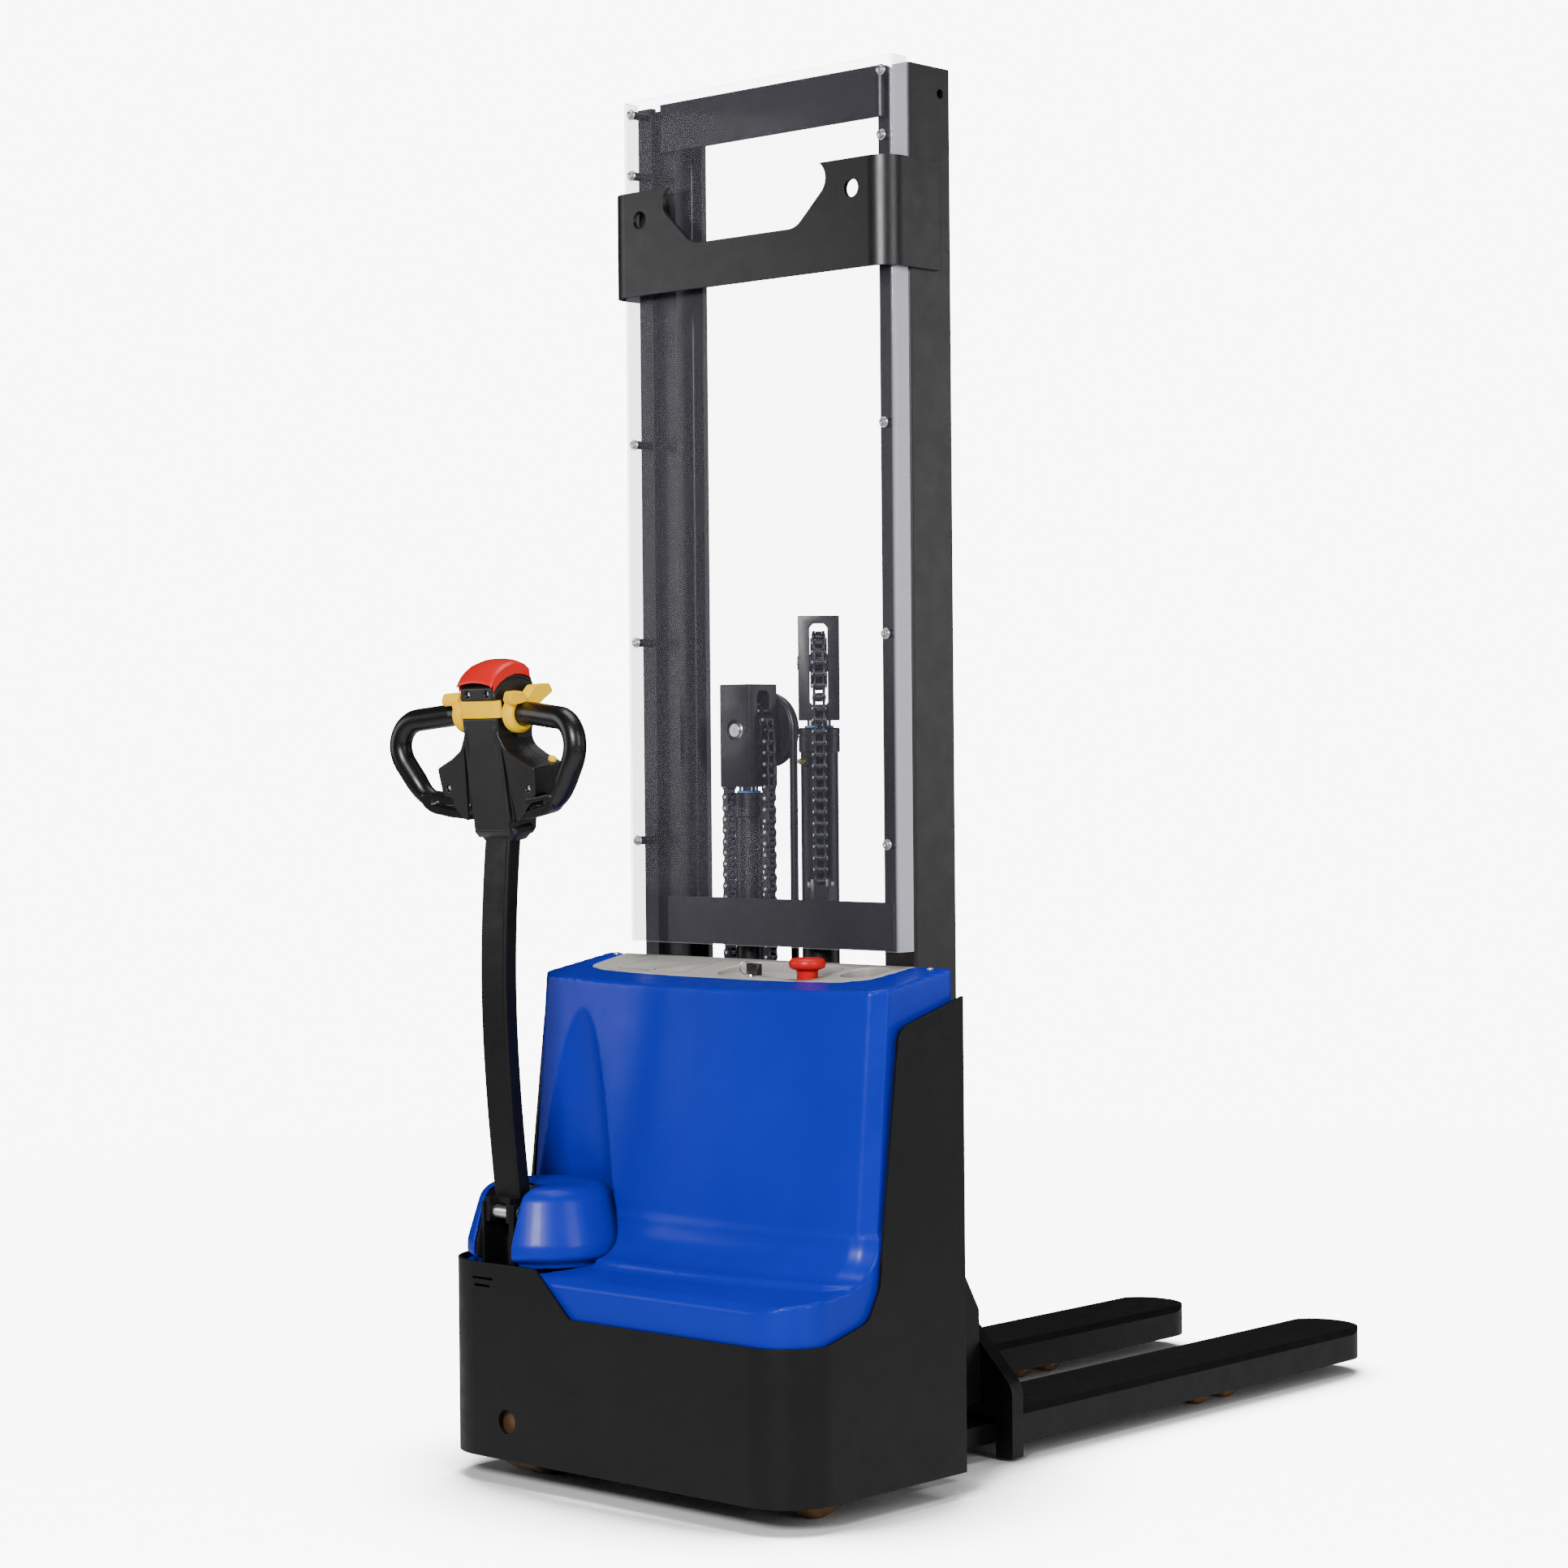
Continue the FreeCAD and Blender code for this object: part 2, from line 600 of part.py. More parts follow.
def left_lift():
    """Left cylinder, fixed to the chassis: it lifts the inner mast."""
    x, y = d.left_lift_x, d.left_lift_y
    low, top = d.left_barrel_bottom, d.left_barrel_top
    rod_radius = 16
    head_low = top + 10
    node("lift_barrel_left", shaped("left_barrel", barrel(x, y, low, top, d.left_barrel_radius, rod_radius)))
    rod = cylinder_shape((x, y, low + 30), rod_radius, head_low - low - 30)
    node("piston_rod_left", shaped("left_rod", rod))
    head, axle = lift_head(x, y, head_low, 0)
    pulley_y = y + d.head_size / 2 + 3
    journal = cylinder_shape((x, y + d.head_size / 2, head_low + 96), 14.95, 32, (0, 1, 0))
    node("lift_head_left", shaped("left_head", head.fuse([axle, journal])))
    wheel_z = head_low + 96
    node("chain_wheel_left", shaped("left_wheel", chain_wheel(x, y, wheel_z, 0)))
    groove, rim = d.hose_pulley_radius - 11, d.hose_pulley_radius
    profile = [(15, 0), (rim, 0), (rim, 1.5), (groove, 5), (groove, 17), (rim, 20.5), (rim, 22), (15, 22)]
    pulley = face_of(profile).revolve(FreeCAD.Vector(), FreeCAD.Vector(0, 1, 0), 360)
    pulley.translate(FreeCAD.Vector(x, pulley_y, wheel_z))
    node("hose_pulley", shaped("left_pulley", pulley))
    node("chain_left_fixed", shaped("left_chain_fixed", chain_leg(x, y, low, wheel_z, 0, -1)))
    node("chain_left_moving", shaped("left_chain_moving", chain_leg(x, y, 225, wheel_z, 0, 1)))
    hose_y, hose = pulley_y + 11, d.hose_pulley_radius - 4
    for name, low_end, side in (("hose_fixed", low, -1), ("hose_moving", 200, 1)):
        run = cylinder_shape((x + side * hose, hose_y, low_end), d.hose_radius, wheel_z - low_end)
        node(name, shaped(name + "_run", run))


def right_lift():
    """Right cylinder, carried by the inner mast: it lifts the load carriage."""
    x, y, turn = d.right_lift_x, d.right_lift_y, d.right_lift_turn
    low, top = d.right_barrel_bottom, d.right_barrel_top
    rod_radius = 20
    head_low = top + 12
    tube = barrel(x, y, low, top, d.right_barrel_radius, rod_radius)
    node("lift_barrel_right", shaped("right_barrel", tube))
    rod = cylinder_shape((x, y, low + 30), rod_radius, head_low - low - 30)
    node("piston_rod_right", shaped("right_rod", rod))
    head, axle = lift_head(x, y, head_low, turn)
    node("lift_head_right", shaped("right_head", head.fuse(axle)))
    wheel_z = head_low + 96
    node("chain_wheel_right", shaped("right_wheel", chain_wheel(x, y, wheel_z, turn)))
    near = chain_leg(x, y, 970, wheel_z, turn, 1)
    far = chain_leg(x, y, 420, wheel_z, turn, -1)
    node("chain_right_fixed", shaped("right_chain_fixed", near))
    node("chain_right_moving", shaped("right_chain_moving", far))


# ---------------------------------------------------------------- legs, carriage and forks


def support_legs():
    """Two straddle legs under the forks, each ending in a fork for two tandem rollers."""
    legs = []
    half, front_end = d.leg_width / 2, d.roller_front + 50
    roller_rear_end = d.roller_rear - d.roller_radius - 8
    for side in (-1, 1):
        x = side * d.fork_centre
        bar = box_shape((x - half, d.mast_rear + 12, d.leg_bottom),
                        (2 * half, front_end - d.mast_rear - 12, d.leg_top - d.leg_bottom))
        slot = box_shape((x - half + 9, roller_rear_end, 0), (2 * half - 18, front_end, 100))
        bar = bar.cut(slot)
        axles = [cylinder_shape((x - half + 1, y, d.roller_radius), 9.95, 2 * half - 2, (1, 0, 0))
                 for y in (d.roller_rear, d.roller_front)]
        legs.append(bar.fuse(axles))
    node("support_legs", group("leg_pair", legs))


def load_rollers():
    """Four tandem rollers, two in each leg."""
    wide = d.roller_width
    for side, side_name in ((-1, "left"), (1, "right")):
        for y, place in ((d.roller_rear, "rear"), (d.roller_front, "front")):
            x = side * d.fork_centre - wide / 2
            name = f"load_roller_{side_name}_{place}"
            tyre = drum(name + "_tyre", (x, y, d.roller_radius), "dims.roller_radius",
                        "dims.roller_width", "X")
            bore = drum(name + "_bore", (x - 1, y, d.roller_radius), 10, wide + 2, "X")
            node(name, cut(name + "_cut", tyre, bore))


ARM_X = 206
ARM_THICK = 18


def carriage():
    """Load carriage: fork plate with raised shoulders and side arms reaching into the mast."""
    rear = d.carriage_rear
    half, shoulder_z, bottom = 285, 126, 5
    leg_gap = d.leg_width / 2 + 9
    notch_low, notch_high = d.fork_centre - leg_gap, d.fork_centre + leg_gap
    notch_top = d.leg_top + 12
    right_half = [(150, 262, 20), (half, shoulder_z, 40), (half, bottom), (notch_high, bottom),
                  (notch_high, notch_top), (notch_low, notch_top), (notch_low, bottom + 40)]
    outline = right_half + [(-p[0], *p[1:]) for p in reversed(right_half)]
    plate = pad("carriage_plate", XZ, outline, "dims.carriage_thick", rear)
    arms = []
    for i, side in enumerate((-1, 1)):
        profile = [(434, 254), (518, 254), (540, 92), (rear, 92), (rear, 250), (566, 430, 60),
                   (520, 640), (434, 640)]
        arms.append(pad(f"carriage_arm_{i}", YZ, profile, ARM_THICK, side * ARM_X - ARM_THICK / 2))
    tie = block("carriage_tie", (-ARM_X, 528, 300), (2 * ARM_X, 14, 120))
    hook = block("carriage_chain_hook", (4, 500, 380), (30, 30, 40))
    studs = [drum(f"carriage_stud_{i}", (-240 if side < 0 else ARM_X, 460, z), 20, 240 - ARM_X, "X")
             for i, (side, z) in enumerate(((-1, 300), (1, 300), (-1, 600), (1, 600)))]
    node("load_carriage", fuse("carriage_body", plate, tie, hook, *arms, *studs))


def fork(side, name):
    """Fork pressed as an inverted trough that covers its support leg, with a rounded tip."""
    wide, wall = d.fork_width, d.fork_wall
    x = side * d.fork_centre
    half = wide / 2
    rear, tip = d.carriage_rear + d.carriage_thick, d.fork_tip
    low, high, slope = d.fork_bottom, d.fork_top, 11
    length = tip - rear
    section = [(x - half, low), (x - half, high - slope), (x - half + slope, high),
               (x + half - slope, high), (x + half, high - slope), (x + half, low),
               (x + half - wall, low), (x + half - wall, high - slope - 2),
               (x + half - slope - 2, high - wall), (x - half + slope + 2, high - wall),
               (x - half + wall, high - slope - 2), (x - half + wall, low)]
    trough = pad(name + "_trough", XZ, section, length, rear)
    solid_tip = [(x - half, low), (x - half, high - slope), (x - half + slope, high),
                 (x + half - slope, high), (x + half, high - slope), (x + half, low)]
    nose_start = 1560
    nose = pad(name + "_nose", XZ, solid_tip, tip - nose_start, nose_start)
    plan = [(x - half, rear - 1), (x + half, rear - 1), (x + half, tip, 76), (x - half, tip, 76)]
    envelope = pad(name + "_plan", XY, plan, 200, 0)
    return node(name, common(name + "_trimmed", fuse(name + "_joined", trough, nose), envelope))


# ---------------------------------------------------------------- wheels and drive


def drive_unit():
    """Steered drive: wheel, gearbox leg, upright motor with brake, and turntable bearing."""
    x, y = d.steer_x, d.steer_y
    radius, wide = d.drive_radius, d.drive_width
    tyre = drum("drive_tyre", (x - wide / 2, y, radius), "dims.drive_radius", "dims.drive_width", "X")
    bore = drum("drive_bore", (x - wide, y, radius), 20.05, 2 * wide, "X")
    dish = drum("drive_dish", (x - wide / 2 - 1, y, radius), 62, 22, "X")
    node("drive_wheel", cut("drive_wheel_cut", tyre, bore, dish))
    shaft = cylinder_shape((x - 30, y, radius), 20, 30 + wide / 2 + 34, (1, 0, 0))
    leg = prism_shape([(x + 42, y - 55, 25), (x + 82, y - 55, 10), (x + 82, y + 55, 10),
                       (x + 42, y + 55, 25)], 220, 48)
    turret = cylinder_shape((x, y, 236), 82, 52)
    leg = leg.common(cylinder_shape((x, y, 0), 108, 400))
    gearbox = turret.fuse([leg, shaft])
    node("drive_gearbox", shaped("gearbox_shape", gearbox))
    motor = cylinder_shape((x, y + 20, 288), 56, 120)
    brake = cylinder_shape((x, y + 20, 408), 44, 34)
    node("drive_motor", shaped("motor_shape", motor.fuse(brake)))
    ring = cylinder_shape((x, y, 284), 104, 14).cut(cylinder_shape((x, y, 280), 82.4, 30))
    node("steering_bearing", shaped("bearing_ring", ring))


def steer_hood():
    """Domed hood over the motor, slit at the rear for the tiller to swing down."""
    x, y = d.steer_x, d.steer_y
    radius, wall = d.hood_radius, d.hood_wall
    low, high = d.hood_bottom, d.hood_top

    def dome(inset):
        r, crown = radius - inset, high - inset
        shoulder = r - 34
        profile = [(0, low - 1), (r, low - 1), (r - 2, low + 34, 20), (shoulder + 8, crown - 6, 32),
                   (0, crown)]
        return turned_shape(profile, x, y).common(cylinder_shape((x, y, low), radius + 5, 300))

    shell = dome(0).cut(dome(wall))
    slot = box_shape((x - 39, y - 2 * radius, low - 5), (78, 2 * radius - 40, 400))
    shell = shell.cut(slot)
    plate = cylinder_shape((x, y, low), radius - wall / 2, 4)
    plate = plate.cut([cylinder_shape((x, y + 20, low - 5), 60, 20),
                       box_shape((x - 39, y - 200, low - 5), (78, 200, 20))])
    node("steer_hood", shaped("hood_shell", shell.fuse(plate)))
    ears = [box_shape((x + s * 34 - 4, y - 118, 322), (8, 62, 136)) for s in (-1, 1)]
    base = box_shape((x - 38, y - 118, 322), (76, 78, 10))
    post = box_shape((x - 38, y - 82, 288), (76, 42, 40)).common(cylinder_shape((x, y, 288), 81, 60))
    bracket = base.fuse(ears + [post]).common(cylinder_shape((x, y, 288), 119, 200))
    bracket = bracket.cut(cylinder_shape((x - 60, d.pin_y, d.pin_z), 9, 120, (1, 0, 0)))
    node("tiller_bracket", shaped("bracket_shape", bracket))
    pin = cylinder_shape((x - 40, d.pin_y, d.pin_z), 8.95, 80, (1, 0, 0))
    node("tiller_pin", shaped("pin_shape", pin))
    strut = cylinder_shape((x, d.pin_y + 20, 332), 13, 70)
    node("gas_spring", shaped("strut_shape", strut.fuse(cylinder_shape((x, d.pin_y + 20, 400), 6, 10))))


def caster():
    """Swivel caster at the right rear."""
    x, y, trail = d.caster_x, d.caster_y, d.caster_trail
    radius, wide = d.caster_radius, d.caster_width
    axle_y = y + trail
    crown_z = 2 * radius + 10
    cheeks = []
    for side in (-1, 1):
        low_x = x + side * (wide / 2 + 6) - 3
        cheek = side_shape([(y - 28, crown_z), (y + 28, crown_z), (axle_y + 16, radius - 14, 12),
                            (axle_y - 16, radius - 14, 12)], low_x, low_x + 6)
        cheeks.append(cheek)
    crown = box_shape((x - wide / 2 - 9, y - 28, crown_z), (wide + 18, 56, 8))
    race = cylinder_shape((x, y, crown_z + 8), 28, 14)
    axle = cylinder_shape((x - wide / 2 - 8, axle_y, radius), 7.95, wide + 16, (1, 0, 0))
    node("caster_fork", shaped("caster_fork_shape", crown.fuse(cheeks + [race, axle])))
    tyre = drum("caster_tyre", (x - wide / 2, axle_y, radius), "dims.caster_radius",
                "dims.caster_width", "X")
    bore = drum("caster_bore", (x - wide, axle_y, radius), 8, 2 * wide, "X")
    node("caster_wheel", cut("caster_wheel_cut", tyre, bore))


# ---------------------------------------------------------------- tiller


def tiller_tube():
    """Bowed flat tube on a foot that turns on the pin."""
    x = d.steer_x
    half_wide, deep = d.tube_wide / 2, d.tube_deep
    rows = [(50, 456), (38, 560), (26, 700), (22, 820), (26, 950), (35, 1060)]
    front = Part.BSplineCurve()
    front.interpolate([FreeCAD.Vector(0, y + deep / 2, z) for y, z in rows])
    rear = Part.BSplineCurve()
    rear.interpolate([FreeCAD.Vector(0, y - deep / 2, z) for y, z in rows])
    bottom = Part.LineSegment(rear.StartPoint, front.StartPoint)
    top = Part.LineSegment(rear.EndPoint, front.EndPoint)
    face = Part.Face(Part.Wire([rear.toShape(), top.toShape(), front.toShape(), bottom.toShape()]))
    face.translate(FreeCAD.Vector(x - half_wide, 0, 0))
    tube = face.extrude(FreeCAD.Vector(d.tube_wide, 0, 0))
    long_edges = [edge for edge in tube.Edges if edge.Length > 400]
    tube = tube.makeFillet(5, long_edges)
    yoke = [box_shape((x + s * 24.5 - 4.5, d.pin_y - 16, d.pin_z - 16), (9, 46, 40)) for s in (-1, 1)]
    bridge = box_shape((x - 29, d.pin_y - 4, d.pin_z + 14), (58, 36, 10))
    foot = bridge.fuse(yoke).cut(cylinder_shape((x - 60, d.pin_y, d.pin_z), 9, 120, (1, 0, 0)))
    node("tiller_tube", shaped("tube_shape", tube.fuse(foot)))


def leaned(label, shape):
    """Piece of the tiller head, drawn upright and leaned back about the foot of the head."""
    turn = FreeCAD.Rotation(FreeCAD.Vector(1, 0, 0), d.head_lean)
    return shaped(label, shape, turn, (d.steer_x, HEAD_Y, HEAD_LOW))


HEAD_Y = 38
HEAD_LOW = 1064
HEAD_REAR, HEAD_FRONT = HEAD_Y - 25, HEAD_Y + 66
HEAD_CROWN = 266
HUB_Y = HEAD_Y + 10
HUB_Z = HEAD_LOW + 196
HUB_RADIUS = 30
HUB_NEAR, HUB_FAR = 50, 84
SPIGOT_RADIUS = 10


def head_side():
    """Side outline of the handle housing."""
    rear, front, low, crown = HEAD_REAR, HEAD_FRONT, HEAD_LOW, HEAD_CROWN
    return [(rear + 14, low), (rear, low + 50, 30), (rear, low + crown - 26, 8),
            (rear + 26, low + crown, 24), (front - 14, low + crown - 6, 18),
            (front, low + crown - 50, 20), (front, low + 60, 30), (front - 20, low)]


def tiller_head():
    """Handle housing with its band, collar, grip loops, thumb switches and buttons."""
    x, y, low = d.steer_x, HEAD_Y, HEAD_LOW
    front, rear, crown = HEAD_FRONT, HEAD_REAR, low + HEAD_CROWN
    half = 45
    tube_space = box_shape((x - 30.5, y - 30, low - 60), (61, 50, 90))
    collar = prism_shape([(x - 40, y - 36, 10), (x + 40, y - 36, 10), (x + 40, y + 26, 10),
                          (x - 40, y + 26, 10)], 30, low - 30)
    node("tiller_collar", leaned("collar_shape", collar.cut(tube_space)))
    body = side_shape(head_side(), x - half, x + half)
    face = [(-half, low + 300), (-half, low + 150), (-half + 8, low), (half - 8, low),
            (half, low + 150), (half, low + 300)]
    taper = face_of([(x + u, -z) for u, z in face])
    taper.rotate(FreeCAD.Vector(), FreeCAD.Vector(1, 0, 0), -90)
    taper.translate(FreeCAD.Vector(0, rear - 20, 0))
    body = body.common(taper.extrude(FreeCAD.Vector(0, 140, 0)))
    band_low, band_high = low + 184, low + 214
    band_space = box_shape((x - 60, rear - 10, band_low), (120, 30, band_high - band_low))
    band_core = box_shape((x - half + 3, rear + 4, band_low - 5), (2 * half - 6, 40, 45))
    wing = [(-116, low + 112, 8), (-112, low + 70, 8), (-66, low + 26, 10), (66, low + 26, 10),
            (112, low + 70, 8), (116, low + 112, 8), (60, low + 140, 20), (40, low + 168), (-40, low + 168),
            (-60, low + 140, 20)]
    wing_face = face_of([(x + p[0], -p[1], *p[2:]) for p in wing])
    wing_face.rotate(FreeCAD.Vector(), FreeCAD.Vector(1, 0, 0), -90)
    wing_face.translate(FreeCAD.Vector(0, rear + 3, 0))
    wings = [wing_face.extrude(FreeCAD.Vector(0, front - rear - 7, 0))]
    pockets = [cylinder_shape((bx, front - 20, bz), 8.05, 60, (0, 1, 0)) for bx, bz in button_places()]
    housing = body.fuse(wings).cut([band_space.cut(band_core)] + pockets)
    node("handle_housing", leaned("housing_shape", housing))
    node("handle_band", leaned("band_shape", body.common(band_space).cut(band_core)))
    cap_outer = [(rear - 4, crown - 32), (rear - 4, crown - 6, 14), (rear + 24, crown + 26, 30),
                 (front - 14, crown + 20, 24), (front + 6, crown - 14, 10), (front + 6, crown - 26)]
    cap_under = [(rear - 9, crown - 42), (rear - 1.5, crown - 16, 10), (rear + 24, crown + 12, 26),
                 (front - 12, crown + 6, 20), (front + 1.5, crown - 38)]
    pad_shape = side_shape(cap_outer, x - 44, x + 44).cut(side_shape(cap_under, x - 60, x + 60))
    node("belly_button", leaned("belly_shape", pad_shape))
    loops = [grip_loop(x, HUB_Y, side).cut(wings) for side in (-1, 1)]
    node("handle_grips", leaned("grip_shapes", Part.makeCompound(loops)))
    hubs = []
    for side in (-1, 1):
        near = x + side * HUB_NEAR if side > 0 else x - HUB_FAR
        wide = HUB_FAR - HUB_NEAR
        ring = cylinder_shape((near, HUB_Y, HUB_Z), HUB_RADIUS, wide, (1, 0, 0))
        upper = side_shape([(HUB_Y + 6, HUB_Z + 24), (HUB_Y + 64, HUB_Z + 42, 5),
                            (HUB_Y + 68, HUB_Z + 28, 5), (HUB_Y + 24, HUB_Z + 8)], near, near + wide)
        lower = side_shape([(HUB_Y - 4, HUB_Z + 24), (HUB_Y - 30, HUB_Z + 40, 5),
                            (HUB_Y - 36, HUB_Z + 28, 5), (HUB_Y - 28, HUB_Z)], near, near + wide)
        bore = cylinder_shape((near - 5, HUB_Y, HUB_Z), SPIGOT_RADIUS + 0.05, wide + 10, (1, 0, 0))
        hubs.append(ring.fuse([upper, lower]).cut(bore))
    node("travel_switch", leaned("switch_shape", Part.makeCompound(hubs)))
    for name, (bx, bz) in zip(("lift_button", "lower_button"), button_places()):
        button = cylinder_shape((bx, front - 14, bz), 8, 22, (0, 1, 0))
        node(name, leaned(name + "_shape", button))


def button_places():
    """Places of the two push buttons on the front of the head."""
    return [(d.steer_x - 16, HEAD_LOW + 120), (d.steer_x + 16, HEAD_LOW + 120)]


def rounded_path(corners):
    """Wire through points with arcs at the inner ones; corners are (vector, radius)."""
    edges = []
    last = corners[0][0]
    for (before, _), (point, bend), (after, _) in zip(corners, corners[1:], corners[2:]):
        a = (before - point).normalize()
        b = (after - point).normalize()
        half = a.getAngle(b) / 2
        start, end = point + a * (bend / tan(half)), point + b * (bend / tan(half))
        middle = point + (a + b).normalize() * (bend / sin(half) - bend)
        edges += [Part.LineSegment(last, start).toShape(), Part.Arc(start, middle, end).toShape()]
        last = end
    edges.append(Part.LineSegment(last, corners[-1][0]).toShape())
    return Part.Wire(edges)


def grip_loop(x, y, side):
    """Half of the handle: a round bar from the thumb switch, round the hand, back to the wing."""
    radius, reach, low = d.loop_radius, d.loop_reach, HEAD_LOW
    corners = [(HUB_FAR + 1, 0, HUB_Z, 0), (reach, -14, low + 190, 42), (reach - 5, -22, low + 128, 60),
               (reach - 68, -18, low + 44, 38), (64, -14, low + 38, 0)]
    points = [(FreeCAD.Vector(x + side * u, y + back, w), bend) for u, back, w, bend in corners]
    path = rounded_path(points)
    section = Part.Wire(Part.Circle(points[0][0], FreeCAD.Vector(side, 0, 0), radius).toShape())
    bar = path.makePipeShell([section], True, True)
    start = x + side * 40 if side > 0 else x - HUB_FAR - 5
    spigot = cylinder_shape((start, y, HUB_Z), SPIGOT_RADIUS, HUB_FAR - 35, (1, 0, 0))
    head_side_gap = box_shape((x - 45, y - 100, low), (90, 200, 300))
    return bar.fuse(spigot).cut(head_side_gap)


# ---------------------------------------------------------------- inside the cover


def inner_works():
    """Batteries, motor controller and hydraulic power unit."""
    size = (330, 172, 212)
    batteries = []
    for z in (68, 291):
        case = box_shape((-60, 226, z), size)
        posts = [cylinder_shape((-60 + px, 252, z + size[2]), 7, 6) for px in (40, 290)]
        batteries.append(case.fuse(posts))
    node("battery_blocks", group("battery_pair", batteries))
    base = box_shape((60, 382, 560), (190, 22, 150))
    fins = [box_shape((60 + i * 16, 356, 560), (6, 27, 150)) for i in range(12)]
    node("motor_controller", shaped("controller_shape", base.fuse(fins)))
    tank = box_shape((-370, 290, 284), (130, 100, 246))
    valve = box_shape((-340, 300, 530), (70, 70, 50))
    pump = cylinder_shape((-305, 335, 580), 42, 130)
    tank = tank.fuse([valve, pump])
    node("hydraulic_unit", shaped("hydraulic_shape", tank))


def build():
    """Draw every sub-part, check it and write it out."""
    chassis_skirt()
    chassis_frame()
    rear_cover()
    dash_panel()
    dash_lid()
    switches()
    masts()
    mast_guard()
    inner_crosses()
    mast_window()
    left_lift()
    right_lift()
    support_legs()
    load_rollers()
    carriage()
    fork(-1, "fork_left")
    fork(1, "fork_right")
    drive_unit()
    steer_hood()
    caster()
    tiller_tube()
    tiller_head()
    inner_works()
    doc.recompute()
    for item in doc.Objects:
        if any(flag in ("Invalid", "Error") for flag in item.State):
            raise RuntimeError(f"{item.Name} did not build: {item.State}")
    os.makedirs("parts", exist_ok=True)
    for label, item in nodes.items():
        shape = item.Shape
        if shape.isNull() or not shape.isValid() or not shape.Solids:
            raise RuntimeError(f"{label} is not a valid solid")
        shape.exportStep(f"parts/{label}.step")
        box = shape.BoundBox
        print(f"{label:24s} solids {len(shape.Solids)} litres {shape.Volume / 1e6:8.3f} "
              f"x {box.XMin:8.1f} {box.XMax:8.1f} y {box.YMin:8.1f} {box.YMax:8.1f} "
              f"z {box.ZMin:8.1f} {box.ZMax:8.1f}")
    print(len(nodes), "nodes")


build()
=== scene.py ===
"""Looks of the walkie stacker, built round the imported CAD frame."""

import json
from math import atan2, cos, pi, radians, sin, tan

import bmesh
import bpy
from mathutils import Matrix, Vector


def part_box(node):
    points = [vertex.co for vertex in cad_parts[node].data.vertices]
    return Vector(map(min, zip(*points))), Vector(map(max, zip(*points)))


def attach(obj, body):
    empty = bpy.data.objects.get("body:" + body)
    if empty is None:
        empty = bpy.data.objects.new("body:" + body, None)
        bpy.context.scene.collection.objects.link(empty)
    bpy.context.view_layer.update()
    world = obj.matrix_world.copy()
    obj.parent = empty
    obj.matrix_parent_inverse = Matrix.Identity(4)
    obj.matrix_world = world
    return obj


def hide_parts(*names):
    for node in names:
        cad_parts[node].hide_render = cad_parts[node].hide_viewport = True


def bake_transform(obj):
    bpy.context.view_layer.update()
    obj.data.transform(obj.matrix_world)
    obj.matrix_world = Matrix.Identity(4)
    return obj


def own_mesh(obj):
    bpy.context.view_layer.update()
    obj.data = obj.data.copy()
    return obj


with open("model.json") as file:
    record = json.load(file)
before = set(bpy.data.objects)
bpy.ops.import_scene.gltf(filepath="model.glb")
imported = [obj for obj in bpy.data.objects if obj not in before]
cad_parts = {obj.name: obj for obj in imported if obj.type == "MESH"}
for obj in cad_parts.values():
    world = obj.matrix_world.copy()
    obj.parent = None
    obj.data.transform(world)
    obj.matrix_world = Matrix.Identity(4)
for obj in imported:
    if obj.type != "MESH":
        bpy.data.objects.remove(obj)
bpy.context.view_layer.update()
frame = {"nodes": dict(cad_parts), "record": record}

MM = 0.001
skirt_low, skirt_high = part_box("chassis_skirt")
CENTRE_X = (skirt_low.x + skirt_high.x) / 2
REAR_Y = skirt_low.y


def at(x, y, z):
    """Point given in millimetres from the truck's centreline, chassis rear face and floor."""
    return Vector((CENTRE_X + x * MM, REAR_Y + y * MM, z * MM))


# ---- materials


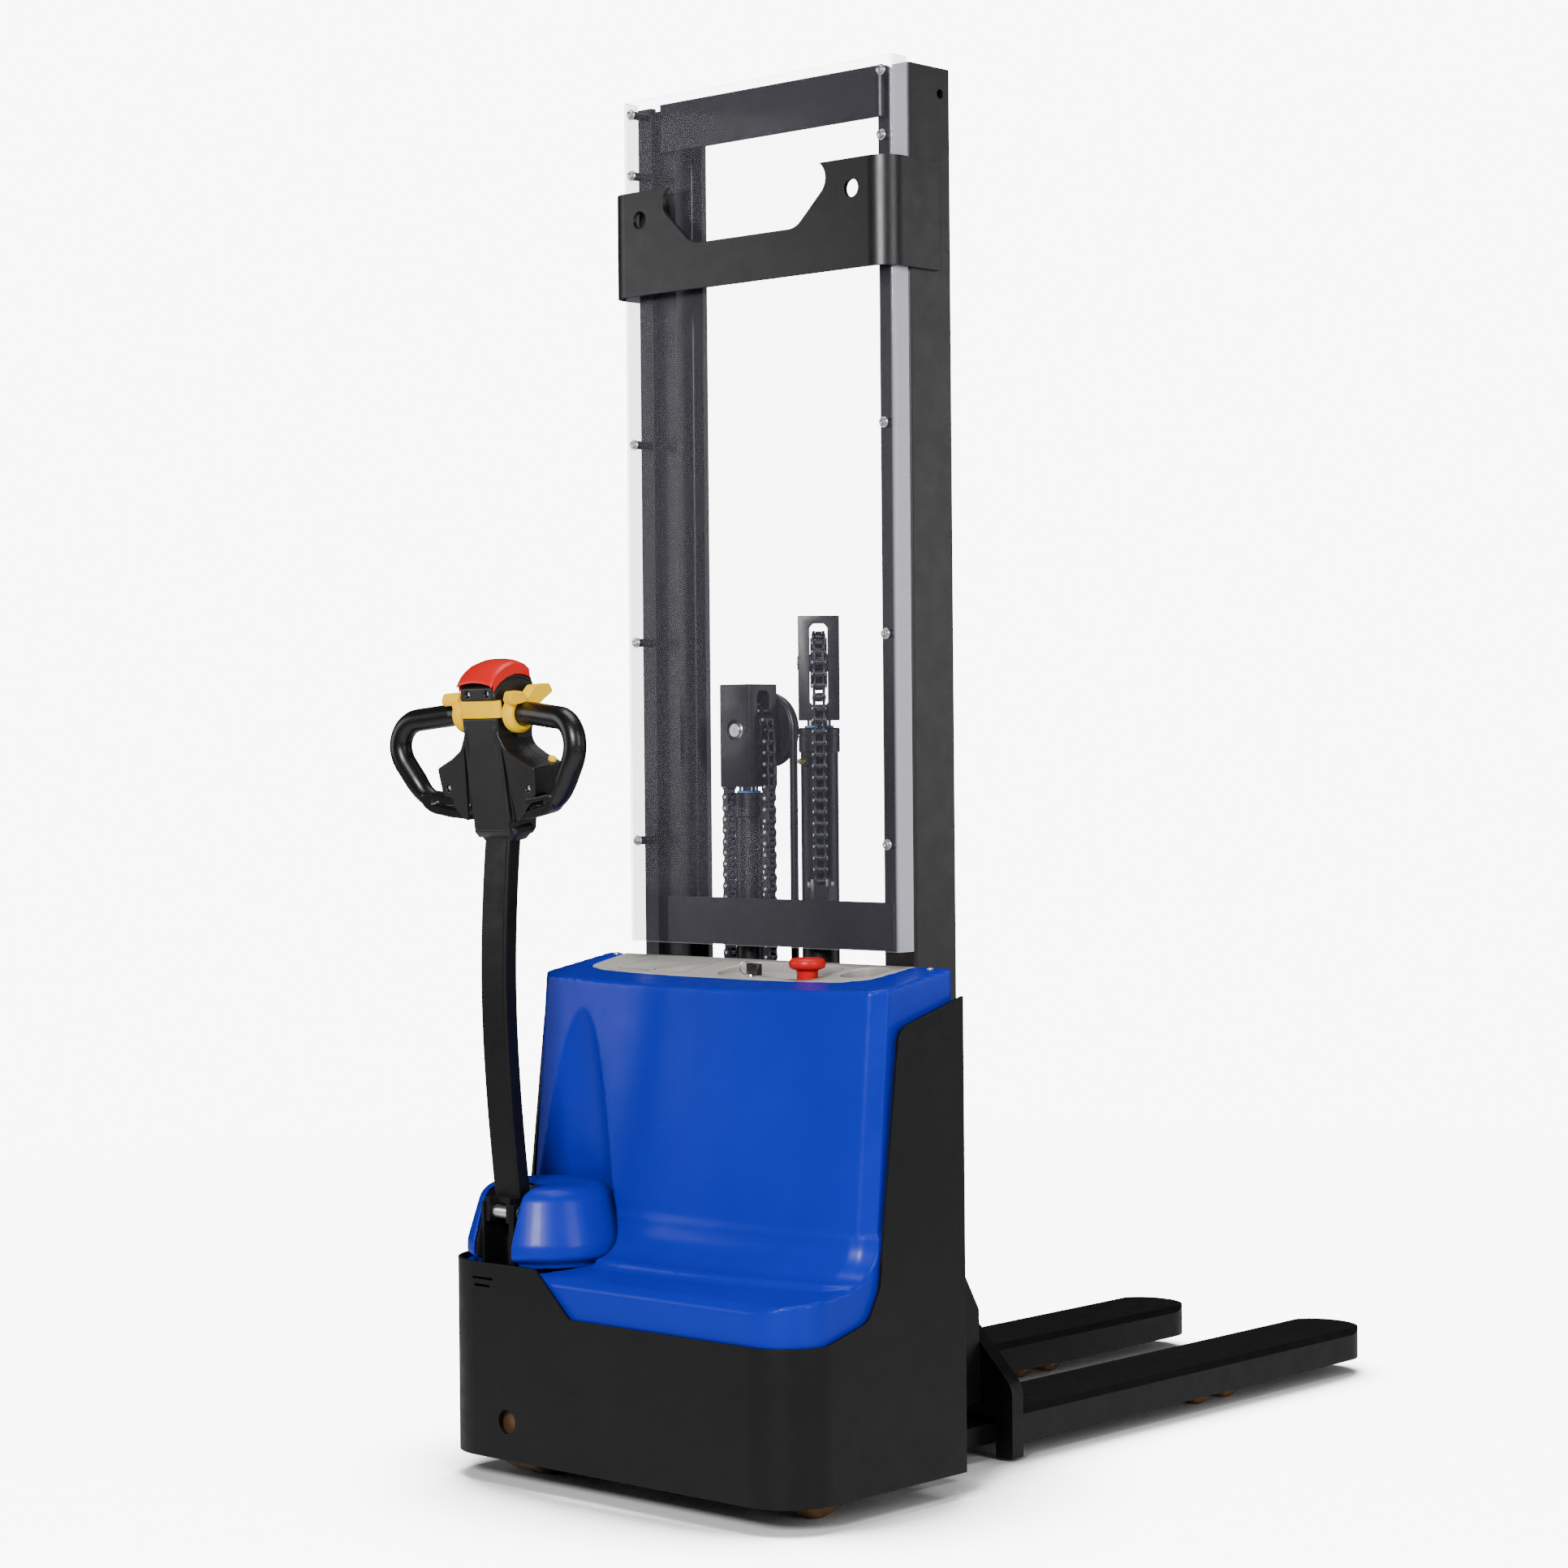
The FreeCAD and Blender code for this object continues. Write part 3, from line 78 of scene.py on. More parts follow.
class Surface:
    """A material with a principled shader, and short names for the nodes that detail it."""

    def __init__(self, name, color, rough, metallic=0.0, specular=0.5, coat=0.0):
        self.material = bpy.data.materials.new(name)
        self.material.use_nodes = True
        self.tree = self.material.node_tree
        self.shader = self.tree.nodes["Principled BSDF"]
        self.set("Base Color", (*color, 1))
        self.set("Roughness", rough)
        self.set("Metallic", metallic)
        self.set("Specular IOR Level", specular)
        self.set("Coat Weight", coat)
        self.set("Coat Roughness", 0.1)
        self.place = self.node("TexCoord").outputs["Object"]
        self.normal = None

    def set(self, socket, value):
        self.shader.inputs[socket].default_value = value

    def link(self, source, target):
        self.tree.links.new(source, target)

    def node(self, kind, **inputs):
        """New node; each input is named in small letters and is a value or another node's output."""
        made = self.tree.nodes.new("ShaderNode" + kind)
        for name, value in inputs.items():
            socket = made.inputs[name.replace("_", " ").title()]
            if isinstance(value, bpy.types.NodeSocket):
                self.link(value, socket)
            else:
                socket.default_value = value
        return made

    def noise(self, scale, detail=3.0, rough=0.55, stretch=None):
        place = self.place
        if stretch:
            place = self.node("Mapping", scale=stretch, vector=place).outputs["Vector"]
        return self.node("TexNoise", scale=scale, detail=detail, roughness=rough, vector=place).outputs["Fac"]

    def distance_across(self):
        """Distance to the left or right of the truck's centreline, in metres."""
        split = self.node("SeparateXYZ", vector=self.place)
        shift = self.node("Math", value=split.outputs["X"])
        shift.inputs[1].default_value = -CENTRE_X
        size = self.node("Math", value=shift.outputs["Value"])
        size.operation = "ABSOLUTE"
        return size.outputs["Value"]

    def remap(self, value, low, high, out_low, out_high):
        ends = {"from_min": low, "from_max": high, "to_min": out_low, "to_max": out_high}
        return self.node("MapRange", value=value, **ends).outputs["Result"]

    def edges(self, radius, sharp=0.12):
        """Mask that is 1 on convex and concave edges and 0 on flat faces."""
        dot = self.node("VectorMath", vector=self.node("Bevel", radius=radius).outputs["Normal"])
        dot.operation = "DOT_PRODUCT"
        self.link(self.node("NewGeometry").outputs["Normal"], dot.inputs[1])
        return self.remap(dot.outputs["Value"], 1.0 - sharp, 0.998, 1.0, 0.0)

    def soften(self, radius):
        """Round off hard CAD edges in the shading."""
        self.normal = self.node("Bevel", radius=radius).outputs["Normal"]
        self.link(self.normal, self.shader.inputs["Normal"])

    def mix(self, mask, low, high):
        """Colour that goes from low to high as the mask rises."""
        made = self.tree.nodes.new("ShaderNodeMix")
        made.data_type = "RGBA"
        for socket, value in ((6, low), (7, high)):
            if isinstance(value, tuple):
                made.inputs[socket].default_value = (*value, 1)
            else:
                self.link(value, made.inputs[socket])
        self.link(mask, made.inputs[0])
        return made.outputs[2]

    def add(self, first, second):
        total = self.node("Math", value=first)
        total.use_clamp = True
        self.link(second, total.inputs[1])
        return total.outputs["Value"]

    def hollows(self, distance):
        """Ambient occlusion: 1 in the open, lower in hollows."""
        return self.node("AmbientOcclusion", distance=distance).outputs["AO"]

    def tone(self, value):
        self.link(value, self.shader.inputs["Base Color"])

    def roughness(self, value):
        self.link(value, self.shader.inputs["Roughness"])

    def bump(self, height, strength, distance):
        made = self.node("Bump", strength=strength, distance=distance, height=height)
        if self.normal is not None:
            self.link(self.normal, made.inputs["Normal"])
        self.normal = made.outputs["Normal"]
        self.link(self.normal, self.shader.inputs["Normal"])


def shade(color, factor):
    return tuple(min(1.0, c * factor) for c in color)


def powder_coat(name, color, rough, grain=900, specular=0.28, drift=0.08):
    """Fine textured paint on steel, a little dusty, lighter along its edges: partly rubbed wear, partly a
    painted edge highlight.
    """
    s = Surface(name, color, rough, specular=specular)
    s.soften(1.2 * MM)
    mottle = s.remap(s.noise(7, 4), 0.35, 0.68, 0.0, 1.0)
    body = s.mix(mottle, shade(color, 0.82), shade(color, 1.25))
    speck = s.remap(s.noise(grain * 0.6, 2), 0.62, 0.8, 0.0, 0.55)
    body = s.mix(speck, body, shade(color, 2.2))
    # edges lightened: partly rubbed wear, partly a painted highlight on convex and concave edges
    s.tone(s.mix(s.edges(2.2 * MM), body, shade(color, 2.4)))
    s.roughness(s.remap(s.noise(30, 4), 0.3, 0.7, rough - drift, rough + drift))
    s.bump(s.noise(grain, 2), 0.22, 0.0006)
    return s.material


def moulding(name, color, rough, grain=1400, strength=0.06, coat=0.0, soft=0.8, specular=0.4, hollow_shade=0.0):
    """Injection-moulded plastic with a fine spark-eroded grain, and painted shade darkening its hollows where
    ambient occlusion is low.
    """
    s = Surface(name, color, rough, specular=specular, coat=coat)
    if soft:
        s.soften(soft * MM)
    drifting = s.remap(s.noise(5, 3), 0.3, 0.7, 0.0, 1.0)
    surface_tone = s.mix(drifting, shade(color, 0.94), shade(color, 1.06))
    # painted shade: colour darkened in hollows by ambient occlusion
    if hollow_shade:
        surface_tone = s.mix(s.remap(s.hollows(hollow_shade), 0.45, 0.95, 0.0, 1.0), shade(color, 0.3), surface_tone)
    s.tone(surface_tone)
    s.roughness(s.remap(s.noise(18, 5), 0.3, 0.7, rough - 0.04, rough + 0.06))
    s.bump(s.noise(grain, 2), strength, 0.0004)
    return s.material


def bare_metal(name, color, rough, stretch=(1, 1, 1), scale=60, soft=0.4, bump=0.05):
    """Metal with brushed or turned streaks and slightly uneven gloss."""
    s = Surface(name, color, rough, metallic=1.0)
    if soft:
        s.soften(soft * MM)
    streaks = s.noise(scale, 6, 0.7, stretch)
    s.tone(s.mix(s.remap(streaks, 0.3, 0.7, 0, 1), shade(color, 0.75), shade(color, 1.15)))
    s.roughness(s.remap(streaks, 0.3, 0.7, max(rough - 0.08, 0.03), rough + 0.12))
    s.bump(streaks, bump, 0.0003)
    return s.material


def tread(name, color, core):
    """Cast polyurethane tyre: warm, slightly cloudy and scuffed on its running face."""
    s = Surface(name, color, 0.42, coat=0.12)
    s.soften(1.5 * MM)
    cloud = s.remap(s.noise(22, 5), 0.32, 0.68, 0, 1)
    s.tone(s.mix(cloud, core, color))
    s.roughness(s.remap(s.noise(160, 4), 0.3, 0.7, 0.32, 0.6))
    s.bump(s.noise(240, 3), 0.12, 0.0005)
    return s.material


def clear_sheet(name):
    """Clear polycarbonate: a faint lilac veil, hairline scratches, and painted highlights on its cut edges
    and bend lines.
    """
    s = Surface(name, (0.80, 0.79, 0.86), 0.06)
    s.soften(1.0 * MM)
    veil = s.remap(s.node("LayerWeight", blend=0.3).outputs["Facing"], 0.0, 1.0, 0.02, 0.3)
    streak = s.remap(s.noise(26, 3, 0.5, (1, 1, 24)), 0.55, 0.75, 0.0, 0.04)
    # painted highlight: the bend lines (wing) and cut edges (rim) get a lighter colour and more opacity
    wing = s.remap(s.distance_across(), 0.2965, 0.3015, 0.0, 1.0)
    rim = s.add(s.edges(3.0 * MM, 0.5), wing)
    s.link(s.add(s.add(veil, streak), s.remap(rim, 0, 1, 0, 0.3)), s.shader.inputs["Alpha"])
    s.tone(s.mix(rim, (0.15, 0.145, 0.19), (0.80, 0.80, 0.88)))
    s.roughness(s.remap(s.noise(9, 3), 0.35, 0.75, 0.03, 0.12))
    return s.material


BLACK = (0.0035, 0.0035, 0.0040)
ENAMEL = (0.0048, 0.0044, 0.0060)
BLUE = (0.0, 0.010, 0.34)
GREY = (0.44, 0.42, 0.385)

LOOKS = {
    "chassis_black": powder_coat("chassis powder coat", BLACK, 0.42, specular=0.2),
    "mast_black": powder_coat("mast enamel", ENAMEL, 0.36, grain=700, specular=0.45, drift=0.03),
    "cover_blue": moulding("blue cover", BLUE, 0.36, 700, strength=0.015, coat=0.04, soft=0, specular=0.22),
    "dash_grey": moulding("dash grey", GREY, 0.46, 1300, strength=0.12, soft=0, hollow_shade=0.05),
    "clear_window": clear_sheet("clear window"),
    "zinc": bare_metal("zinc plate", (0.66, 0.66, 0.68), 0.3),
    "black_plastic": moulding("black plastic", (0.0065, 0.0068, 0.0075), 0.38, strength=0.12, specular=0.5),
    "grip_rubber": moulding("grip rubber", (0.004, 0.004, 0.0045), 0.3, grain=900, strength=0.08, soft=0),
    "red_plastic": moulding("red plastic", (0.58, 0.005, 0.005), 0.34, soft=0, specular=0.3),
    "yellow_plastic": moulding("yellow plastic", (1.0, 0.56, 0.0), 0.42, soft=0, specular=0.04),
    "chain_steel": bare_metal("oiled chain", (0.05, 0.05, 0.06), 0.3, scale=200),
    "chromed_rod": bare_metal("hard chrome", (0.78, 0.79, 0.8), 0.09, (1, 1, 12), soft=0, bump=0.01),
    "cast_black": powder_coat("black casting", (0.018, 0.018, 0.02), 0.55, grain=260),
    "drive_tread": tread("brown tread", (0.10, 0.05, 0.02), (0.06, 0.028, 0.01)),
    "roller_tread": tread("amber tread", (0.20, 0.09, 0.02), (0.12, 0.05, 0.01)),
    "battery_case": moulding("battery case", (0.03, 0.03, 0.032), 0.5, strength=0.2),
    "heatsink": bare_metal("heatsink", (0.6, 0.6, 0.61), 0.38, (1, 1, 20)),
    "chain_pin": bare_metal("chain pin", (0.85, 0.85, 0.86), 0.5),
    "brass": bare_metal("brass", (0.78, 0.60, 0.26), 0.28),
    "seal_blue": moulding("seal blue", (0.05, 0.22, 0.62), 0.4, soft=0),
    "hose_rubber": moulding("hose rubber", (0.011, 0.011, 0.012), 0.36, grain=500, strength=0.15, soft=0),
}

for part in frame["record"]["subparts"]:
    mesh = frame["nodes"][part["node"]].data
    mesh.materials.clear()
    mesh.materials.append(LOOKS[part["material_slot"]])


# ---- mesh helpers


def rounded(points, steps=7):
    """Closed outline with its corners rounded; a point is (x, y) or (x, y, radius)."""
    line = []
    count = len(points)
    for i, point in enumerate(points):
        here = Vector(point[:2])
        radius = point[2] if len(point) > 2 else 0
        if not radius:
            line.append(here)
            continue
        a = (Vector(points[i - 1][:2]) - here).normalized()
        b = (Vector(points[(i + 1) % count][:2]) - here).normalized()
        half = a.angle(b) / 2
        start, end = here + a * (radius / tan(half)), here + b * (radius / tan(half))
        centre = here + (a + b).normalized() * (radius / sin(half))
        first, last = start - centre, end - centre
        sweep = first.angle_signed(last)
        for k in range(steps + 1):
            turn = -sweep * k / steps
            line.append(centre + Vector((first.x * cos(turn) - first.y * sin(turn),
                                         first.x * sin(turn) + first.y * cos(turn))))
    return [(p.x, p.y) for p in line]


def oblong(x0, y0, x1, y1, corner):
    """Corners of a rectangle that all have one radius, for rounded()."""
    return [(x0, y0, corner), (x1, y0, corner), (x1, y1, corner), (x0, y1, corner)]


def add_object(name, data):
    """New object in the scene."""
    made = bpy.data.objects.new(name, data)
    bpy.context.scene.collection.objects.link(made)
    return made


def plain_object(name, shape):
    """Object from a bmesh, which is used up."""
    mesh = bpy.data.meshes.new(name)
    shape.to_mesh(mesh)
    shape.free()
    return add_object(name, mesh)


def mesh_object(name, shape):
    """Object from a bmesh, with its faces turned outwards."""
    bmesh.ops.recalc_face_normals(shape, faces=shape.faces)
    return plain_object(name, shape)


def prism(name, outline, low, high, axis="Z"):
    """Outline pushed from low to high along an axis; its two numbers are the other two axes in order."""
    order = {"X": (2, 0, 1), "Y": (0, 2, 1), "Z": (0, 1, 2)}[axis]
    shape = bmesh.new()
    rings = [[shape.verts.new([(a, b, c)[i] for i in order]) for a, b in outline] for c in (low, high)]
    for ring in rings:
        shape.faces.new(ring)
    for i in range(len(outline)):
        j = (i + 1) % len(outline)
        shape.faces.new((rings[0][i], rings[0][j], rings[1][j], rings[1][i]))
    return mesh_object(name, shape)


def slab(name, low, high):
    """Rectangular block between two corners."""
    (x0, y0, z0), (x1, y1, z1) = low, high
    return prism(name, [(x0, y0), (x1, y0), (x1, y1), (x0, y1)], z0, z1)


def lathe(name, profile, segments):
    """Profile of (radius, height) spun about Z; it starts and ends on the axis or closes on itself."""
    shape = bmesh.new()
    rings = []
    for radius, height in profile:
        count = 1 if radius < 1e-6 else segments
        angles = [2 * pi * k / segments for k in range(count)]
        rings.append([shape.verts.new((radius * cos(t), radius * sin(t), height)) for t in angles])
    for a, b in zip(rings, rings[1:] + rings[:1]):
        for k in range(segments):
            n = (k + 1) % segments
            corners = list(dict.fromkeys([a[k % len(a)], a[n % len(a)], b[n % len(b)], b[k % len(b)]]))
            if len(corners) > 2:
                shape.faces.new(corners)
    return mesh_object(name, shape)


def cylinder(name, radius, low, high, segments=48):
    """Plain round bar along Z."""
    return lathe(name, [(0, low), (radius, low), (radius, high), (0, high)], segments)


def loft(name, sections):
    """Skin over closed sections that all have the same number of points."""
    shape = bmesh.new()
    rings = [[shape.verts.new(p) for p in section] for section in sections]
    for a, b in zip(rings, rings[1:]):
        for k in range(len(a)):
            n = (k + 1) % len(a)
            shape.faces.new((a[k], a[n], b[n], b[k]))
    shape.faces.new(rings[0])
    shape.faces.new(rings[-1])
    return mesh_object(name, shape)


def settle(thing):
    """Apply every modifier."""
    bpy.context.view_layer.update()
    graph = bpy.context.evaluated_depsgraph_get()
    mesh = bpy.data.meshes.new_from_object(thing.evaluated_get(graph))
    thing.modifiers.clear()
    thing.data = mesh
    return thing


def combine(base, operation, tools):
    """Boolean of the base with each tool; the tools are used up."""
    for tool in tools:
        step = base.modifiers.new("boolean", "BOOLEAN")
        step.operation = operation
        step.object = tool
        step.solver = "EXACT"
    settle(base)
    for tool in tools:
        bpy.data.objects.remove(tool)
    return base


def overlap(base, tool):
    return combine(base, "INTERSECT", [tool])


def union(base, *tools):
    return combine(base, "UNION", tools)


def carve(base, *tools):
    return combine(base, "DIFFERENCE", tools)


def moulded(thing, voxel, passes):
    """Melt a sharp solid into one soft-edged skin."""
    melt = thing.modifiers.new("melt", "REMESH")
    melt.mode = "VOXEL"
    melt.voxel_size = voxel
    relax = thing.modifiers.new("relax", "SMOOTH")
    relax.iterations = passes
    return smooth(settle(thing))


def smooth(thing, angle=None):
    thing.data.shade_smooth()
    if angle is not None:
        thing.data.set_sharp_from_angle(angle=radians(angle))
    return thing


def eased(thing, width, segments=3, angle=30):
    """Real rounded edges on a sharp solid."""
    bevel = thing.modifiers.new("ease", "BEVEL")
    bevel.width = width
    bevel.segments = segments
    bevel.limit_method = "ANGLE"
    bevel.angle_limit = radians(angle)
    return smooth(settle(thing), 40)


def placed(thing, matrix):
    thing.data.transform(matrix)
    return thing


def move(*place):
    return Matrix.Translation(place)


def spun(angle, axis):
    return Matrix.Rotation(angle, 4, axis)


ALONG_X = spun(pi / 2, "Y")
ALONG_Y = spun(-pi / 2, "X")


def turned(name, profile, segments, angle, where=Matrix()):
    """Lathe piece with edges kept sharp above an angle, set in place."""
    return placed(smooth(lathe(name, profile, segments), angle), where)


def flipped(thing):
    """Mirror image across the centreline."""
    placed(thing, Matrix.Scale(-1, 4, (1, 0, 0)))
    thing.data.flip_normals()
    return thing


def finish_piece(thing, body, look, stands_for=()):
    """Give a piece its material and body, and hide the CAD parts it stands for; a piece with no body is left
    to the caller.
    """
    thing.data.materials.clear()
    thing.data.materials.append(LOOKS[look])
    if body:
        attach(thing, body)
    if stands_for:
        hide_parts(*stands_for)
    return thing


def join(name, things):
    """One object out of several."""
    shape = bmesh.new()
    for thing in things:
        shape.from_mesh(thing.data)
        bpy.data.objects.remove(thing)
    return plain_object(name, shape)


def turn_to(direction, place):
    """Matrix that carries +Z to a direction, at a place."""
    return move(*place) @ Vector(direction).to_track_quat("Z", "Y").to_matrix().to_4x4()


def screw_head(radius, height, recess):
    """Pan head with a hexagon socket, standing on z = 0."""
    profile = [(0, 0), (radius, 0), (radius, height * 0.45), (radius * 0.86, height * 0.85),
               (radius * 0.6, height), (radius * 0.42, height), (radius * 0.4, height - recess),
               (0, height - recess)]
    return turned("screw", profile, 24, 35)


def path_points(corners, steps):
    """Points along straight runs with arcs at the inner corners; a corner is (x, y, z, radius)."""
    points = [Vector(corners[0][:3])]
    for before, here, after in zip(corners, corners[1:], corners[2:]):
        point, bend = Vector(here[:3]), here[3]
        a = (Vector(before[:3]) - point).normalized()
        b = (Vector(after[:3]) - point).normalized()
        half = a.angle(b) / 2
        start = point + a * (bend / tan(half))
        end = point + b * (bend / tan(half))
        centre = point + (a + b).normalized() * (bend / sin(half))
        reach = (start - centre).length
        for k in range(steps + 1):
            points.append(centre + (start - centre).slerp(end - centre, k / steps) * reach)
    points.append(Vector(corners[-1][:3]))
    return points


def tube(name, points, radii, segments):
    """Round bar along points; radii is one number or one for each point."""
    if not isinstance(radii, (list, tuple)):
        radii = [radii] * len(points)
    sections = []
    side = None
    for i, point in enumerate(points):
        ahead = points[min(i + 1, len(points) - 1)] - points[max(i - 1, 0)]
        ahead.normalize()
        if side is None:
            side = ahead.orthogonal().normalized()
        side = (side - ahead * side.dot(ahead)).normalized()
        over = ahead.cross(side)
        ring = []
        for k in range(segments):
            angle = 2 * pi * k / segments
            ring.append(point + (side * cos(angle) + over * sin(angle)) * radii[i])
        sections.append(ring)
    return smooth(loft(name, sections), 50)


# ---- tiller head

housing_low, housing_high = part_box("handle_housing")
HEAD_X = (housing_low.x + housing_high.x) / 2
HEAD_LEAN = radians(9.6)
# millimetres in the leaning head: x to the right, y to the front, z up from the head's foot
HEAD_FOOT = at(0, 38, 1064)
HEAD = move(HEAD_X, HEAD_FOOT.y, HEAD_FOOT.z) @ spun(HEAD_LEAN, "X") @ Matrix.Scale(MM, 4)
HUB = (10, 196)
HUB_RING = 30.5
BUTTON_X, BUTTON_Z = (-16, 16), 120


def both_sides(make):
    """A piece and its mirror image."""
    return [make(side) for side in (-1, 1)]


def mirrored(outline, side):
    return [(p[0] * side, *p[1:]) for p in outline]


PAD_UNDER = [(70, 254), (66.5, 255.5), (60, 258.5), (54, 261.5), (44, 265), (30, 267), (12, 264.5),
             (-2, 258.8), (-12, 252.6), (-20, 245.8), (-26, 240)]


def head_housing():
    """Grained black casing: spine panel, flared wings with a waist between them, screw pits."""
    side = rounded([(-20, -4), (-28, 6, 6), (-20, 243, 3), (-4, 255, 10), (24, 261.5, 20), (60, 256, 6),
                    (70, 247, 6), (68, 205, 30), (54, 160, 40), (50, 60, 30), (34, 2, 12), (26, -4)])
    casing = prism("head_casing", side, -41, 41, "X")
    for sign in (-1, 1):
        wing = rounded(mirrored([(34, 25), (64, 25, 14), (111, 68, 8), (116, 112, 6), (78, 128, 24),
                                 (54, 142, 26), (34, 178)], sign))
        waist = [(x * 0.95, 68 + (z - 68) * 0.93) for x, z in wing]
        front = [(x * 0.9, 66 + (z - 66) * 0.95) for x, z in wing]
        union(casing, prism("rear_wing", wing, -24, 17, "Y"), prism("waist", waist, 10, 30, "Y"),
              prism("front_wing", front, 23, 52, "Y"))
    for sign in (-1, 1):
        gap = mirrored([(43.6, 168), (58, 26), (45.5, -6), (43.2, -6)], sign)
        carve(casing, prism("panel_gap", gap, -40, -16, "Y"))
    belt = prism("belt_seat", rounded([(-60, -30), (60, -30), (60, -9), (-60, -9)]), 194, 223, "Z")
    carve(belt, prism("belt_core", [(-38.5, -17), (38.5, -17), (38.5, 10), (-38.5, 10)], 190, 226, "Z"))
    carve(casing, belt)
    pits = [(x, -15.6, 233.5) for x in (-22.7, 22.7)] + [(x, -20, 79) for x in (-95, 95)]
    for pit in pits:
        carve(casing, placed(cylinder("pit", 5.6, -3, 30, 24), turn_to((0, -1, 0), pit)))
    for sign in (-1, 1):
        carve(casing, slab("top_seam", (sign * 44 - 6, -30, 222), (sign * 44 + 6, 80, 223.6)))
    shoulder = [(y, z - 15) for y, z in PAD_UNDER]
    for sign in (-1, 1):
        ledge = prism("pad_ledge", [(110, 300), *shoulder, (-60, 300)], 38.6, 50, "X")
        carve(casing, flipped(ledge) if sign < 0 else ledge)
    carve(casing, slab("foot_lip", (-50, -40, 10), (50, -27.2, 12)))
    for x in BUTTON_X:
        carve(casing, placed(cylinder("button_well", 10.5, 0, 40, 32), turn_to((0, 1, 0), (x, 48, BUTTON_Z))))
    moulded(casing, 1.15, 4)
    finish_piece(placed(casing, HEAD), "tiller", "black_plastic", stands_for=["handle_housing"])

    screws = [placed(screw_head(4.6, 2.6, 2.0), turn_to((0, -1, 0), (x, y + 1.4, z))) for x, y, z in pits]
    finish_piece(placed(join("head_casing_screws", screws), HEAD), "tiller", "zinc")


def head_band():
    """Yellow clip across the head that wraps a little round its sides."""
    outline = rounded([(-47, -11, 2), (-47, -17, 5), (-40, -21.5, 8), (0, -23.5, 60), (40, -21.5, 8),
                       (47, -17, 5), (47, -11, 2), (38.6, -11), (38.6, -17.1), (-38.6, -17.1), (-38.6, -11)])
    band = eased(prism("head_band", outline, 194.4, 222.4, "Z"), 0.9)
    finish_piece(placed(band, HEAD), "tiller", "yellow_plastic", stands_for=["handle_band"])


def belly_pad():
    """Crowned red pad that wraps over the top of the head."""
    top = [(-26, 247), (-24, 252), (-15, 261.5), (-3, 269), (12, 275.5), (30, 278.5), (46, 276.5),
           (58, 270.5), (66, 262.5), (68.5, 258)]
    under = PAD_UNDER[1:-1]
    half, middle = 42, 22
    sections = []
    for k in range(25):
        across = -1 + 2 * k / 24
        crown = 6.5 * (1 - across ** 2)
        edge = max(0.0, (abs(across) - 0.9) / 0.1)
        ring = [(y, z + crown - 2.6 * edge ** 2) for y, z in top]
        ring += [(y, z + 3 + crown * 0.6) for y, z in under]
        shrink = 1 - 0.012 * edge
        sections.append([(half * across, middle + (y - middle) * shrink, z) for y, z in ring])
    pad = loft("belly_pad_cap", sections)
    rim = [(64, 256.8), *under[1:]]
    skirt = [(y, z + 5.5) for y, z in rim] + [(y, z - 8) for y, z in reversed(rim)]
    union(pad, prism("left_skirt", skirt, -half, -39.8, "X"), prism("right_skirt", skirt, 39.8, half, "X"))
    carve(pad, placed(cylinder("vent", 1.9, -20, 20, 20), turn_to((0, -0.6, 1), (-4, -6, 268))))
    eased(pad, 1.3, 3, 50)
    finish_piece(placed(pad, HEAD), "belly_pad", "red_plastic", stands_for=["belly_button"])


def thumb_switches():
    """Yellow rocking hubs: a ring round the grip's root with a thumb lug behind and a paddle in front."""
    y, z = HUB
    axis = move(0, y, z) @ ALONG_X
    rake, outer = 0.4, 84

    def lever(side):
        profile = [(0, 49), (HUB_RING - 4, 49), (HUB_RING, 54), (HUB_RING, 65), (HUB_RING - 5, 72), (0, 72)]
        ring = placed(lathe("hub", profile, 48), axis)
        lug = rounded([(y - 32, z + 19, 4), (y - 37, z + 27, 6), (y - 30, z + 40, 5), (y - 6, z + 38, 8),
                       (y + 4, z + 26, 8), (y + 4, z + 19)])
        stem = rounded([(y - 29, z - 2, 6), (y - 34, z + 24), (y + 4, z + 24), (y + 4, z)])
        rear = [prism("lug", lug, 54, 82, "X"), prism("stem", stem, 54, 68, "X")]
        for thing in rear:
            for vertex in thing.data.vertices:
                if vertex.co.y < y:
                    vertex.co.y += (outer - vertex.co.x) * rake
        paddle = rounded([(y + 2, z + 8), (y + 2, z + 22, 10), (y + 30, z + 43, 10), (y + 60, z + 41, 5),
                          (y + 66, z + 26, 5), (y + 46, z + 18, 14), (y + 24, z + 7)])
        half = moulded(join("lever", [ring, *rear, prism("paddle", paddle, 56.4, 79.2, "X")]), 1.0, 4)
        notch = rounded([(y - 8, z + 50), (y + 4, z + 27, 10), (y + 16, z + 50)])
        carve(half, placed(cylinder("collar", 19.8, 40, 90), axis), prism("notch", notch, 40, 95, "X"))
        return flipped(half) if side < 0 else half

    switches = smooth(placed(join("thumb_switches", both_sides(lever)), HEAD))
    finish_piece(switches, "travel_switches", "yellow_plastic", stands_for=["travel_switch"])


